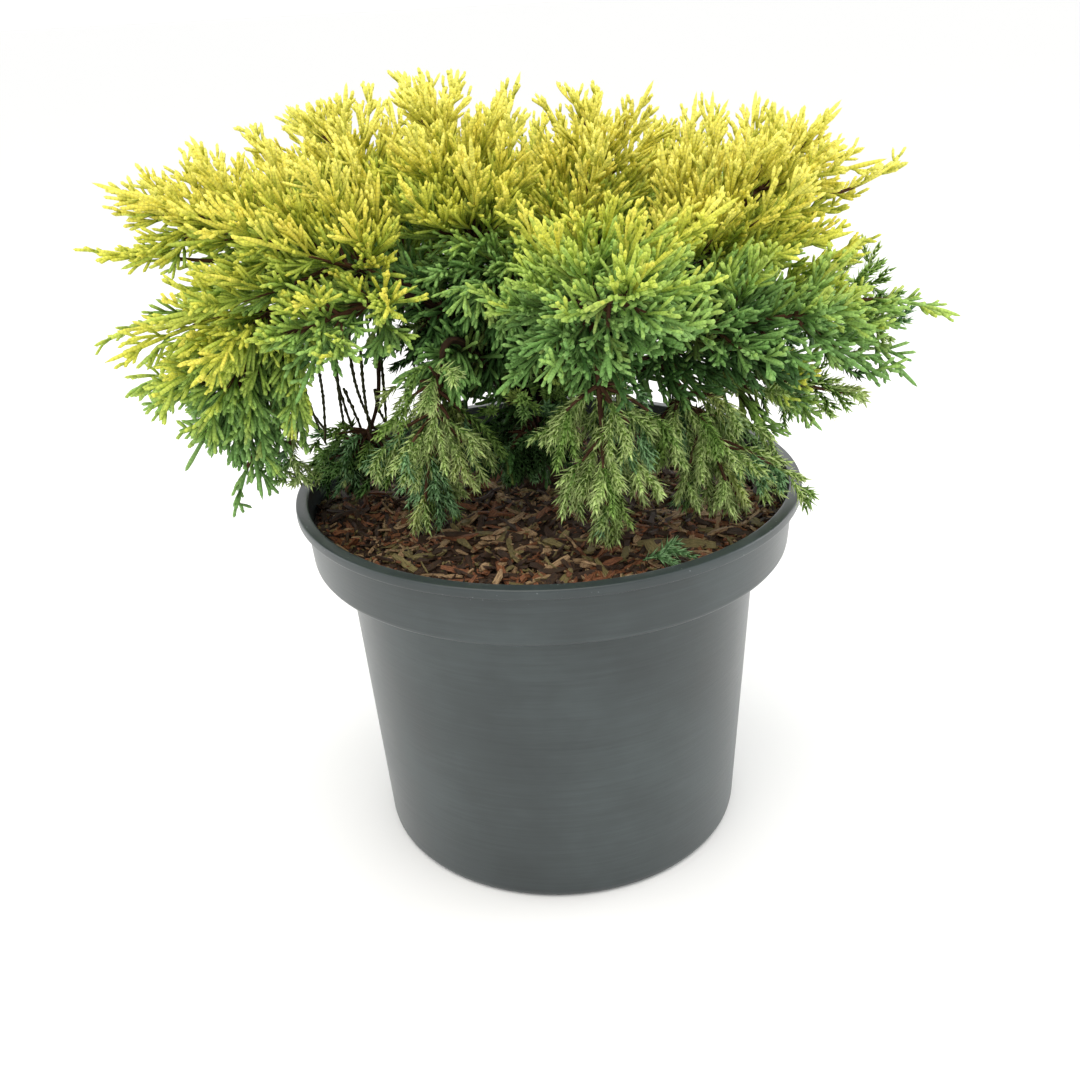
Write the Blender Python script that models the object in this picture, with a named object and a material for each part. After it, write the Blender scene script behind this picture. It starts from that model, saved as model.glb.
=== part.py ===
"""Spreading golden juniper in a round nursery pot.

Metres, +Z up. The pot's underside is z = 0, its axis is the Z axis, and the plant's front faces -Y.
"""
import math
import random

import bmesh
import bpy
from mathutils import Vector, noise

# The pot: a tapered body, a band below the lip and a thin lip that is the widest part.
POT_HEIGHT = 0.170
LIP_RADIUS = 0.113
LIP_HEIGHT = 0.0045
BAND_HEIGHT = 0.0230
BAND_TOP_RADIUS = 0.1094
BAND_FOOT_RADIUS = 0.1080
BODY_TOP_RADIUS = 0.0938
BODY_FOOT_RADIUS = 0.0860
FOOT_ROUND = 0.004
WALL = 0.0020
POT_SIDES = 44
DRAIN_HOLES = 6
DRAIN_HOLE_RADIUS = 0.006
DRAIN_RING_RADIUS = 0.056

# The bark mulch that fills the pot.
SOIL_EDGE = 0.1575
SOIL_CROWN = 0.1610
SOIL_ROUGHNESS = 0.0022
CHIPS = 12
CHIP_LENGTHS = (0.012, 0.034)
CHIP_WIDTHS = (0.004, 0.009)
CHIP_SLOPE = 0.10
CHIP_FLATNESS = 0.42

# The trunk stands a little behind the pot's axis and leans to the front.
TRUNK_FOOT = Vector((-0.003, 0.020, 0.0))
TRUNK_TOP = Vector((-0.008, 0.008, 0.216))
TRUNK_RADIUS = 0.0068
TRUNK_TOP_RADIUS = 0.0042
ROOT_FLARE = 0.0065
ROOT_FLARE_HEIGHT = 0.010
TRUNK_BOW = Vector((-0.004, 0.002, 0))
TRUNK_LOBES = 0.22
FLAT_PATCH = 0.021

GAP = 0.0003
LIMB_SIDES = 5
LIMB_STEPS = 6
LIMB_RISE = 0.38
LIMB_HANDLES = (0.38, 0.34)

# Each limb: the one that bears it, how far up that it leaves, its radius there and at its tip.
# A limb runs to the foliage of the same place, whose row in MASSES gives where it ends.
LIMBS = {
    "left_top": ("trunk", 0.58, 0.0030, 0.0017),
    "left_low": ("left_top", 0.40, 0.0021, 0.0014),
    "left_inner": ("left_top", 0.72, 0.0018, 0.0013),
    "rear_low_left": ("left_low", 0.50, 0.0011, 0.0008),
    "top_left": ("left_top", 0.20, 0.0023, 0.0015),
    "top_centre": ("trunk", 1.0, 0.0032, 0.0017),
    "top_right": ("top_centre", 0.42, 0.0022, 0.0015),
    "right_top": ("trunk", 0.82, 0.0028, 0.0017),
    "right_far": ("right_top", 0.42, 0.0021, 0.0014),
    "right_mid": ("trunk", 0.45, 0.0027, 0.0016),
    "right_low": ("right_mid", 0.36, 0.0019, 0.0013),
    "right_droop": ("right_mid", 0.58, 0.0017, 0.0011),
    "front_fan": ("trunk", 0.60, 0.0028, 0.0016),
    "front_droop_right": ("front_fan", 0.50, 0.0018, 0.0011),
    "centre_inner": ("top_centre", 0.12, 0.0020, 0.0013),
    "front_droop_left": ("trunk", 0.42, 0.0022, 0.0013),
    "back_left": ("trunk", 0.48, 0.0028, 0.0016),
    "back_mid": ("trunk", 0.74, 0.0026, 0.0016),
    "back_right": ("trunk", 0.38, 0.0027, 0.0016),
    "back_low": ("back_mid", 0.34, 0.0018, 0.0012),
}

# Each mass of foliage: its centre, its half sizes, where its stem heads (azimuth from +X and
# elevation, in degrees), and how many twigs it is given.
MASSES = {
    "left_top": ((-0.109, -0.022, 0.286), (0.064, 0.056, 0.043), (184, 22), 16),
    "left_low": ((-0.124, -0.032, 0.232), (0.044, 0.046, 0.050), (205, -52), 13),
    "left_inner": ((-0.080, -0.050, 0.259), (0.034, 0.032, 0.026), (225, -5), 7),
    "rear_low_left": ((-0.086, 0.006, 0.181), (0.028, 0.026, 0.018), (185, -62), 6),
    "top_left": ((-0.074, 0.028, 0.297), (0.046, 0.048, 0.037), (145, 55), 12),
    "top_centre": ((-0.034, 0.012, 0.303), (0.046, 0.050, 0.040), (165, 76), 13),
    "top_right": ((0.022, 0.028, 0.294), (0.047, 0.048, 0.039), (50, 74), 12),
    "right_top": ((0.088, 0.000, 0.286), (0.054, 0.052, 0.041), (8, 45), 15),
    "right_far": ((0.123, 0.002, 0.237), (0.043, 0.050, 0.038), (2, -12), 14),
    "right_mid": ((0.078, -0.042, 0.247), (0.046, 0.046, 0.041), (-25, 12), 12),
    "right_low": ((0.105, -0.012, 0.212), (0.038, 0.038, 0.029), (-6, -12), 9),
    "right_droop": ((0.066, -0.048, 0.200), (0.032, 0.030, 0.034), (-42, -55), 9),
    "front_fan": ((0.025, -0.082, 0.268), (0.044, 0.046, 0.038), (-76, 18), 13),
    "front_droop_right": ((0.022, -0.074, 0.207), (0.030, 0.028, 0.040), (-85, -72), 9),
    "centre_inner": ((-0.034, -0.014, 0.252), (0.036, 0.036, 0.044), (-150, -12), 9),
    "front_droop_left": ((-0.046, -0.054, 0.206), (0.028, 0.027, 0.040), (-125, -72), 9),
    "centre_low": ((-0.010, -0.018, 0.198), (0.026, 0.028, 0.028), (-108, -10), 6),
    "back_left": ((-0.090, 0.086, 0.264), (0.056, 0.054, 0.051), (134, 15), 13),
    "back_mid": ((-0.002, 0.110, 0.266), (0.048, 0.046, 0.050), (92, 15), 12),
    "back_right": ((0.082, 0.088, 0.267), (0.056, 0.054, 0.050), (47, 15), 13),
    "back_low": ((0.000, 0.078, 0.203), (0.052, 0.036, 0.030), (90, -30), 9),
}

# How a mass grows. Lengths are shares of the twig's own length unless they are in metres.
SPACE_MARGIN = 0.030
SPACE_REACH = 1.05
STEM_RADIUS = 0.0016
STEM_REACH = 0.72
LEADER_REACH = 0.93
ENTRY = 0.86
TWIG_BASE_RADIUS = 0.0019
TWIG_TIP_RADIUS = 0.0009
TWIG_STEPS = 4
TWIG_SAMPLES = 12
TWIG_FEET = (0.10, 0.85)
TWIG_BEHIND = 0.9
MOST_BACKWARD = -0.25
NEEDLE_SPACING = 0.0142
OUTER_TIPS = (0.86, 1.0)
INNER_TIPS = (0.62, 0.76)
TWIG_BARE = 0.16
TWIG_BULGE = 0.14
SHORTEST_TWIG = 0.016
NEEDLE_SHARE = 0.50
NEEDLE_LEAST = 0.006
NEEDLE_UNEVEN = (0.85, 1.1)
NEEDLE_FORWARD = math.radians(40)
NEEDLE_ROOM = 0.0012
TWIG_ROOM = 0.0006
GOLDEN_ANGLE = math.pi * (3 - math.sqrt(5))

COLOURS = {
    "pot": (0.032, 0.038, 0.042),
    "soil": (0.075, 0.035, 0.018),
    "bark": (0.16, 0.075, 0.040),
    "gold": (0.62, 0.56, 0.060),
    "lime": (0.33, 0.44, 0.060),
    "green": (0.11, 0.25, 0.050),
}
GOLD_FROM = 0.280
LIME_FROM = 0.245


def clear_scene():
    for thing in list(bpy.data.objects):
        bpy.data.objects.remove(thing)


def material(name, colour, roughness, metallic=0.0):
    made = bpy.data.materials.get(name)
    if made is None:
        made = bpy.data.materials.new(name)
        made.use_nodes = True
        shader = made.node_tree.nodes["Principled BSDF"]
        shader.inputs["Base Color"].default_value = (*colour, 1.0)
        shader.inputs["Roughness"].default_value = roughness
        shader.inputs["Metallic"].default_value = metallic
    return made


def add_object(name, bm, finish, smooth_angle=None):
    """Turn a bmesh into an object of the scene, with its faces pointing out."""
    bmesh.ops.recalc_face_normals(bm, faces=bm.faces)
    mesh = bpy.data.meshes.new(name)
    bm.to_mesh(mesh)
    bm.free()
    if smooth_angle is not None:
        mesh.shade_smooth()
        mesh.set_sharp_from_angle(angle=smooth_angle)
    made = bpy.data.objects.new(name, mesh)
    made.data.materials.append(finish)
    bpy.context.scene.collection.objects.link(made)
    return made


def combine(body, others, operation, solver):
    """Boolean body with a collection of other objects, apply it, and remove those objects."""
    group = bpy.data.collections.new(body.name + "_operands")
    bpy.context.scene.collection.children.link(group)
    for other in others:
        for holder in list(other.users_collection):
            holder.objects.unlink(other)
        group.objects.link(other)
    boolean = body.modifiers.new("boolean", "BOOLEAN")
    boolean.operation = operation
    boolean.solver = solver
    boolean.operand_type = "COLLECTION"
    boolean.collection = group
    bpy.context.view_layer.update()
    joined = bpy.data.meshes.new_from_object(body.evaluated_get(bpy.context.evaluated_depsgraph_get()))
    body.modifiers.remove(boolean)
    body.data = joined
    for other in others:
        bpy.data.objects.remove(other)
    bpy.data.collections.remove(group)


def keep_largest_shell(body):
    """Drop loose scraps and the inner shells of sealed hollows, which fills those hollows."""
    bm = bmesh.new()
    bm.from_mesh(body.data)
    shells = []
    left = set(bm.faces)
    while left:
        shell = {left.pop()}
        edge_of_shell = list(shell)
        while edge_of_shell:
            face = edge_of_shell.pop()
            near = {other for edge in face.edges for other in edge.link_faces} & left
            left -= near
            shell |= near
            edge_of_shell += near
        shells.append(shell)
    shells.sort(key=lambda shell: sum(face.calc_area() for face in shell))
    spare = [face for shell in shells[:-1] for face in shell]
    if spare:
        bmesh.ops.delete(bm, geom=spare, context="FACES")
        bmesh.ops.delete(bm, geom=[v for v in bm.verts if not v.link_faces], context="VERTS")
    bm.to_mesh(body.data)
    bm.free()


def turned(profile, sides):
    """A solid turned about Z from a profile that starts and ends on the axis."""
    bm = bmesh.new()
    points = [bm.verts.new((radius, 0, height)) for radius, height in profile]
    edges = [bm.edges.new(pair) for pair in zip(points, points[1:])]
    bmesh.ops.spin(bm, geom=points + edges, cent=(0, 0, 0), axis=(0, 0, 1),
                   angle=2 * math.pi, steps=sides, use_merge=True)
    bmesh.ops.remove_doubles(bm, verts=bm.verts, dist=0.00001)
    return bm


def heading(azimuth, elevation):
    """Unit vector from an azimuth and an elevation in degrees."""
    a, e = math.radians(azimuth), math.radians(elevation)
    return Vector((math.cos(e) * math.cos(a), math.cos(e) * math.sin(a), math.sin(e)))


def bezier(points, t):
    """Point at t on the Bezier curve through a list of control points."""
    while len(points) > 1:
        points = [a.lerp(b, t) for a, b in zip(points, points[1:])]
    return points[0]


def rings(path, radii, sides, first=None, last=None):
    """Corner points round a path, carried along it without twist, a list for each path point.

    The end rings lie square to the directions first and last, where those are given.
    """
    ahead = [(b - a).normalized() for a, b in zip(path, path[1:])]
    between = [(a + b).normalized() for a, b in zip(ahead, ahead[1:])]
    along = [first or ahead[0]] + between + [last or ahead[-1]]
    across = along[0].orthogonal().normalized()
    made = []
    for centre, direction, radius in zip(path, along, radii):
        across = (across - direction * across.dot(direction)).normalized()
        other = direction.cross(across)
        turns = [2 * math.pi * k / sides for k in range(sides)]
        made.append([centre + (across * math.cos(a) + other * math.sin(a)) * radius for a in turns])
    return made


def tube(bm, path, radii, sides, pointed=False, first=None, last=None):
    """A tapering closed tube. Returns its side faces, one list for each step of the path."""
    corners = rings(path, radii, sides, first, last)
    loops = [[bm.verts.new(corner) for corner in ring] for ring in (corners[:-1] if pointed else corners)]
    steps = []
    for low, high in zip(loops, loops[1:]):
        steps.append([bm.faces.new((low[k], low[(k + 1) % sides], high[(k + 1) % sides], high[k]))
                      for k in range(sides)])
    bm.faces.new(loops[0][::-1])
    if pointed:
        tip = bm.verts.new(path[-1])
        for k in range(sides):
            bm.faces.new((loops[-1][k], loops[-1][(k + 1) % sides], tip))
    else:
        bm.faces.new(loops[-1])
    return steps


def pot_inner_profile(inset=0.0):
    """The pot's inside from the floor's middle to the lip, pulled inwards by inset."""
    shoulder = POT_HEIGHT - LIP_HEIGHT - BAND_HEIGHT
    return [
        (0, WALL + inset),
        (BODY_FOOT_RADIUS - WALL - 0.002 - inset, WALL + inset),
        (BODY_FOOT_RADIUS - WALL - inset, WALL + 0.003 + inset),
        (BODY_TOP_RADIUS - WALL - inset, shoulder + inset),
        (BAND_FOOT_RADIUS - WALL - inset, shoulder + WALL + inset),
        (BAND_TOP_RADIUS - WALL - inset, POT_HEIGHT - 0.001),
    ]


def make_pot():
    shoulder = POT_HEIGHT - LIP_HEIGHT - BAND_HEIGHT
    lip_foot = POT_HEIGHT - LIP_HEIGHT
    corner = [(BODY_FOOT_RADIUS - FOOT_ROUND * (1 - math.sin(a)), FOOT_ROUND * (1 - math.cos(a)))
              for a in (0, math.pi / 4, math.pi / 2)]
    outside = [(0, 0)] + corner + [
        (BODY_TOP_RADIUS, shoulder - 0.0015),
        (BODY_TOP_RADIUS + 0.0015, shoulder),
        (BAND_FOOT_RADIUS - 0.0022, shoulder),
        (BAND_FOOT_RADIUS - 0.0006, shoulder + 0.0008),
        (BAND_FOOT_RADIUS, shoulder + 0.0030),
        (BAND_TOP_RADIUS, lip_foot - 0.0005),
        (LIP_RADIUS - 0.0006, lip_foot),
        (LIP_RADIUS, lip_foot + 0.0012),
        (LIP_RADIUS, POT_HEIGHT - 0.0012),
        (LIP_RADIUS - 0.0010, POT_HEIGHT),
        (BAND_TOP_RADIUS - WALL + 0.0008, POT_HEIGHT),
    ]
    plastic = material("moulded_plastic", COLOURS["pot"], 0.45)
    pot = add_object("pot", turned(outside + pot_inner_profile()[::-1], POT_SIDES), plastic,
                     math.radians(35))
    holes = []
    for k in range(DRAIN_HOLES):
        turn = 2 * math.pi * k / DRAIN_HOLES
        bm = bmesh.new()
        bmesh.ops.create_cone(bm, cap_ends=True, segments=10, radius1=DRAIN_HOLE_RADIUS,
                              radius2=DRAIN_HOLE_RADIUS, depth=4 * WALL)
        middle = Vector((math.cos(turn), math.sin(turn), 0)) * DRAIN_RING_RADIUS
        bmesh.ops.translate(bm, verts=bm.verts, vec=middle)
        holes.append(add_object(f"drain_hole_{k}", bm, plastic))
    combine(pot, holes, "DIFFERENCE", "EXACT")


def soil_height(x, y):
    """Height of the mulch: domed, uneven, and flat where the trunk stands."""
    away = math.hypot(x, y) / BAND_TOP_RADIUS
    height = SOIL_CROWN + (SOIL_EDGE - SOIL_CROWN) * away ** 2
    from_trunk = (Vector((x, y, 0)) - TRUNK_FOOT).length
    blend = min(1.0, max(0.0, from_trunk / FLAT_PATCH - 1.0))
    bump = noise.noise(Vector((x, y, 0.3)) * 60) * SOIL_ROUGHNESS
    return SOIL_CROWN + (height + bump - SOIL_CROWN) * blend


def make_soil():
    """The fill follows the pot's inside a gap away, with a rough top and bark chips sunk in it."""
    side = pot_inner_profile(GAP)[:-1]
    low, high = side[-1], pot_inner_profile(GAP)[-1]
    share = (SOIL_EDGE - low[1]) / (high[1] - low[1])
    rim = low[0] + (high[0] - low[0]) * share
    top = [(rim * (1 - k / 6), SOIL_EDGE) for k in range(7)]
    bm = turned(side + top, POT_SIDES)
    for vert in bm.verts:
        if vert.co.z > SOIL_EDGE - 0.0001:
            vert.co.z = soil_height(vert.co.x, vert.co.y)
    mulch = material("bark_mulch", COLOURS["soil"], 0.95)
    soil = add_object("soil", bm, mulch)
    rng = random.Random(11)
    chips = []
    while len(chips) < CHIPS:
        away = (BAND_TOP_RADIUS - 0.024) * math.sqrt(rng.random())
        turn = rng.uniform(0, 2 * math.pi)
        x, y = away * math.cos(turn), away * math.sin(turn)
        length, width = rng.uniform(*CHIP_LENGTHS), rng.uniform(*CHIP_WIDTHS)
        slope, yaw = rng.uniform(-CHIP_SLOPE, CHIP_SLOPE), rng.uniform(0, math.pi)
        if (Vector((x, y, 0)) - TRUNK_FOOT).length < FLAT_PATCH + length / 2:
            continue
        along = Vector((math.cos(yaw), math.sin(yaw), slope)) * length / 2
        middle = Vector((x, y, soil_height(x, y) + 0.0002))
        bm = bmesh.new()
        tube(bm, [middle - along, middle, middle + along * 0.96], [width / 2, width / 1.8, width / 2.6], 4)
        for vert in bm.verts:
            vert.co.z = middle.z + (vert.co.z - middle.z) * CHIP_FLATNESS
        chips.append(add_object(f"chip_{len(chips)}", bm, mulch))
    combine(soil, chips, "UNION", "MANIFOLD")
    keep_largest_shell(soil)


def trunk_path():
    foot = TRUNK_FOOT + Vector((0, 0, SOIL_CROWN + GAP))
    knee = foot.lerp(TRUNK_TOP, 0.5) + TRUNK_BOW
    steps = [0, 0.05, 0.14, 0.30, 0.50, 0.75, 1.0]
    return [bezier([foot, foot.lerp(knee, 0.9) + Vector((0.002, 0, 0)), TRUNK_TOP], t) for t in steps]


def trunk_radii(path):
    """Steady taper, with the root flare swelling it near the ground."""
    foot, rise = path[0].z, path[-1].z - path[0].z
    radii = []
    for point in path:
        up = (point.z - foot) / rise
        flare = ROOT_FLARE * math.exp(-((point.z - foot) / ROOT_FLARE_HEIGHT) * 1.6)
        radii.append(TRUNK_RADIUS + (TRUNK_TOP_RADIUS - TRUNK_RADIUS) * up + flare)
    return radii


def mass_root(name):
    """Where a mass's stem begins, and its heading: on its near side, opposite to where it heads."""
    centre, half, (azimuth, elevation), _ = MASSES[name]
    aim = heading(azimuth, elevation)
    reach = 1 / math.sqrt(sum((aim[k] / half[k]) ** 2 for k in range(3)))
    return Vector(centre) - aim * reach * ENTRY, aim, reach


def along_path(path, share):
    """Point at a share of a path's length, and the path's direction there."""
    lengths = [(b - a).length for a, b in zip(path, path[1:])]
    left = share * sum(lengths)
    for k, length in enumerate(lengths):
        if left <= length or k == len(lengths) - 1:
            return path[k].lerp(path[k + 1], min(1.0, left / length)), (path[k + 1] - path[k]).normalized()
        left -= length


def plan_limbs():
    """Path and radii of the trunk and of every limb, by name."""
    path = trunk_path()
    plan = {"trunk": (path, trunk_radii(path))}
    for name, (bearer, share, radius, tip_radius) in LIMBS.items():
        start, onward = along_path(plan[bearer][0], share)
        end, aim, _ = mass_root(name)
        if share == 1.0:
            start = start + onward * GAP
        else:
            onward = (onward * LIMB_RISE + (end - start).normalized()).normalized()
        span = (end - start).length
        controls = [start, start + onward * span * LIMB_HANDLES[0], end - aim * span * LIMB_HANDLES[1], end]
        path = [bezier(controls, k / LIMB_STEPS) for k in range(LIMB_STEPS + 1)]
        radii = [radius + (tip_radius - radius) * k / LIMB_STEPS for k in range(LIMB_STEPS + 1)]
        plan[name] = (path, radii)
    return plan


def make_limbs(plan):
    """The trunk, and limbs cut a gap clear of the one that bears them."""
    bark = material("bark", COLOURS["bark"], 0.85)
    path, radii = plan["trunk"]
    bm = bmesh.new()
    tube(bm, path, radii, 10)
    for vert in bm.verts:
        up = vert.co.z - path[0].z
        out = vert.co - TRUNK_FOOT
        lobes = TRUNK_LOBES * math.cos(3 * math.atan2(out.y, out.x)) * math.exp(-up / ROOT_FLARE_HEIGHT)
        vert.co.x += out.x * lobes
        vert.co.y += out.y * lobes
        if up < ROOT_FLARE_HEIGHT * 0.2:
            vert.co.z = path[0].z
    add_object("trunk", bm, bark, math.radians(50))
    for name, (bearer, share, _, _) in LIMBS.items():
        path, radii = plan[name]
        bm = bmesh.new()
        first = along_path(plan[bearer][0], 1.0)[1] if share == 1.0 else None
        tube(bm, path, radii, LIMB_SIDES, first=first, last=mass_root(name)[1])
        limb = add_object("bough_" + name, bm, bark, math.radians(70))
        if share < 1.0:
            path, radii = plan[bearer]
            bm = bmesh.new()
            tube(bm, path, [radius + GAP for radius in radii], 10 if bearer == "trunk" else LIMB_SIDES)
            combine(limb, [add_object("bearer", bm, bark)], "DIFFERENCE", "EXACT")
            keep_largest_shell(limb)


def depth(point, name):
    """How far out a point lies in a mass's space: 0 at its centre, 1 at its surface."""
    centre, half, _, _ = MASSES[name]
    return math.sqrt(sum(((point[k] - centre[k]) / half[k]) ** 2 for k in range(3)))


def clear_of_limbs(point, room, plan):
    """True if a point lies more than room from the surface of every limb."""
    for path, radii in plan.values():
        for a, b, radius in zip(path, path[1:], radii):
            span = b - a
            share = min(1.0, max(0.0, (point - a).dot(span) / span.length_squared))
            if (point - a - span * share).length < radius + room:
                return False
    return True


def clear_of_pot(point):
    """True if a point hangs clear of the mulch, the wall and the lip."""
    away = math.hypot(point.x, point.y)
    if away > LIP_RADIUS + 0.004:
        return point.z > 0.05
    if away > BAND_TOP_RADIUS - 0.007:
        return point.z > POT_HEIGHT + 0.003
    return point.z > SOIL_CROWN + 0.0035


def is_free(point, name, room, plan):
    """True if a point of a mass lies in its own space, clear of limbs, pot and mulch."""
    own = depth(point, name)
    if own > SPACE_REACH or not clear_of_pot(point):
        return False
    if any(depth(point, other) < own + SPACE_MARGIN for other in MASSES if other != name):
        return False
    return clear_of_limbs(point, room, plan)


def grow(name, plan):
    """Paths of one mass's stem and twigs.

    The stem runs on from the limb's tip, and a leader carries it to the space's far side. The other
    tips are spread evenly over the space by the golden angle. Each twig leaves the stem behind its tip
    and sweeps forward to it. One that would leave the space or touch a limb is cut short, or skipped
    where too little is left.
    """
    centre, half, _, count = MASSES[name]
    root, aim, reach = mass_root(name)
    rng = random.Random(name)
    first = root + aim * GAP
    length = reach * (ENTRY + STEM_REACH)
    stem = [first + aim * length * k / TWIG_STEPS for k in range(TWIG_STEPS + 1)]
    leader = first + aim * reach * (ENTRY + LEADER_REACH)
    twigs = [[first.lerp(leader, 0.5 + 0.5 * k / TWIG_STEPS) for k in range(TWIG_STEPS + 1)]]
    phase = rng.uniform(0, 2 * math.pi)
    for k in range(count):
        height = 1 - 2 * (k + 0.5) / count
        turn = phase + k * GOLDEN_ANGLE
        level = math.sqrt(1 - height * height)
        out = Vector((level * math.cos(turn), level * math.sin(turn), height))
        share = rng.uniform(*(INNER_TIPS if k % 3 == 2 else OUTER_TIPS))
        tip = Vector(centre) + Vector(out[i] * half[i] * share for i in range(3))
        ahead = (tip - first).dot(aim)
        aside = (tip - first - aim * ahead).length
        lowest, highest = TWIG_FEET[0] * length, TWIG_FEET[1] * length
        foot = first + aim * min(highest, max(lowest, ahead - TWIG_BEHIND * aside))
        if (tip - foot).normalized().dot(aim) < MOST_BACKWARD:
            continue
        span = (tip - foot).length
        knee = foot.lerp(tip, 0.5) - aim * span * TWIG_BULGE
        path = [bezier([foot, knee, tip], i / TWIG_SAMPLES) for i in range(TWIG_SAMPLES + 1)]
        room = TWIG_BASE_RADIUS + TWIG_ROOM
        good = TWIG_SAMPLES
        for i in range(1, TWIG_SAMPLES + 1):
            near_stem = i < 3
            free = clear_of_limbs(path[i], room, plan) if near_stem else is_free(path[i], name, room, plan)
            if not free:
                good = i - 1
                break
        kept = good / TWIG_SAMPLES
        if kept * span < SHORTEST_TWIG:
            continue
        controls = [foot, foot.lerp(knee, kept), path[good]]
        steps = min(TWIG_STEPS, 1 + int(kept * span / NEEDLE_SPACING))
        twigs.append([bezier(controls, i / steps) for i in range(steps + 1)])
    return stem, twigs


def make_twig(path, name, plan, rng):
    """A three-sided twig whose side faces are drawn out into needles that lean to its tip."""
    length = sum((b - a).length for a, b in zip(path, path[1:]))
    bare, _ = along_path(path, TWIG_BARE)
    count = len(path) - 1
    path = [path[0], bare] + [along_path(path, TWIG_BARE + (1 - TWIG_BARE) * k / count)[0]
                              for k in range(1, count + 1)]
    radii = [TWIG_BASE_RADIUS + (TWIG_TIP_RADIUS - TWIG_BASE_RADIUS) * k / count
             for k in range(count + 2)]
    bm = bmesh.new()
    steps = tube(bm, path, radii, 3, pointed=True)
    for k, faces in enumerate(steps[1:]):
        ahead = (path[k + 2] - path[k + 1]).normalized()
        reach = length * NEEDLE_SHARE * (1 - (k + 0.5) / (count + 0.5)) + NEEDLE_LEAST
        for face in faces:
            middle = face.calc_center_median()
            out = (middle - path[k + 1].lerp(path[k + 2], 0.5))
            out = (out - ahead * out.dot(ahead)).normalized()
            lean = NEEDLE_FORWARD + rng.uniform(-0.12, 0.12)
            way = ahead * math.cos(lean) + out * math.sin(lean)
            point = middle + way * reach * rng.uniform(*NEEDLE_UNEVEN)
            samples = [middle.lerp(point, share) for share in (0.2, 0.5, 0.8, 1.0)]
            if not all(is_free(sample, name, NEEDLE_ROOM, plan) for sample in samples):
                continue
            bmesh.ops.poke(bm, faces=[face])["verts"][0].co = point
    return bm


def make_mass(name, plan):
    """One mass of foliage, fused from its stem and twigs."""
    height = MASSES[name][0][2]
    tint = "gold" if height > GOLD_FROM else "lime" if height > LIME_FROM else "green"
    finish = material("foliage_" + tint, COLOURS[tint], 0.6)
    stem, twigs = grow(name, plan)
    bm = bmesh.new()
    tube(bm, stem, [STEM_RADIUS * (1 - 0.12 * k) for k in range(TWIG_STEPS + 1)], 3, pointed=True)
    mass = add_object("foliage_" + name, bm, finish)
    rng = random.Random(name + " needles")
    pieces = [add_object(f"twig_{k}", make_twig(path, name, plan, rng), finish)
              for k, path in enumerate(twigs)]
    combine(mass, pieces, "UNION", "EXACT")
    keep_largest_shell(mass)


def main():
    clear_scene()
    make_pot()
    make_soil()
    plan = plan_limbs()
    make_limbs(plan)
    for name in MASSES:
        make_mass(name, plan)


main()
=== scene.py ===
# The looks of a potted golden juniper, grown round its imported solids.
import math
import random

import bpy
import numpy as np
from mathutils import Matrix


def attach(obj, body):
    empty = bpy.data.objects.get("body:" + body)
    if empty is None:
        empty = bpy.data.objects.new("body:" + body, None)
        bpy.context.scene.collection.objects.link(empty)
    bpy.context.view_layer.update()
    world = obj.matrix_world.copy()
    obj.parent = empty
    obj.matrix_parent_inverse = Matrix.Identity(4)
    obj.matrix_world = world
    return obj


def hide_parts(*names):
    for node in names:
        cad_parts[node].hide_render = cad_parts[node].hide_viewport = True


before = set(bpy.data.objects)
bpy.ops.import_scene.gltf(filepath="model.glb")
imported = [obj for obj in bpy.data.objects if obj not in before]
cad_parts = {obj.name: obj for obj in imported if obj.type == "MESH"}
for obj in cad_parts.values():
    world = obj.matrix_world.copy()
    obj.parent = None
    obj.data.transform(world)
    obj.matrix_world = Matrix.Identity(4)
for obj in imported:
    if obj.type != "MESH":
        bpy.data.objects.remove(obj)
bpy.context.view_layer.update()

goldenAngle = math.pi * (3 - math.sqrt(5))
millimetre = 0.001


def linear(code):
    # sRGB hex to linear light: v / 12.92 up to 0.04045, and ((v + 0.055) / 1.055) ^ 2.4 above it
    values = [int(code[k:k + 2], 16) / 255 for k in (1, 3, 5)]
    return tuple(v / 12.92 if v <= 0.04045 else ((v + 0.055) / 1.055) ** 2.4 for v in values) + (1.0,)


def addNode(tree, kind, settings=None, links=None):
    # One node with its settings (its own properties, "stops" of a ramp, or socket values) and its links
    node = tree.nodes.new(kind)
    for key, value in (settings or {}).items():
        if key == "stops":
            ramp = node.color_ramp.elements
            while len(ramp) < len(value):
                ramp.new(1.0)
            for stop, (place, colour) in zip(ramp, value):
                stop.position, stop.color = place, colour
        elif isinstance(key, str) and hasattr(node, key):
            setattr(node, key, value)
        else:
            node.inputs[key].default_value = value
    for key, output in (links or {}).items():
        tree.links.new(output, node.inputs[key])
    return node


def newFinish(name, sockets):
    # An empty material whose shader has these plain socket values; returns it with its tree and shader
    finish = bpy.data.materials.new(name)
    finish.use_nodes = True
    shader = finish.node_tree.nodes["Principled BSDF"]
    for key, value in sockets.items():
        shader.inputs[key].default_value = value
    return finish, finish.node_tree, shader


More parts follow.
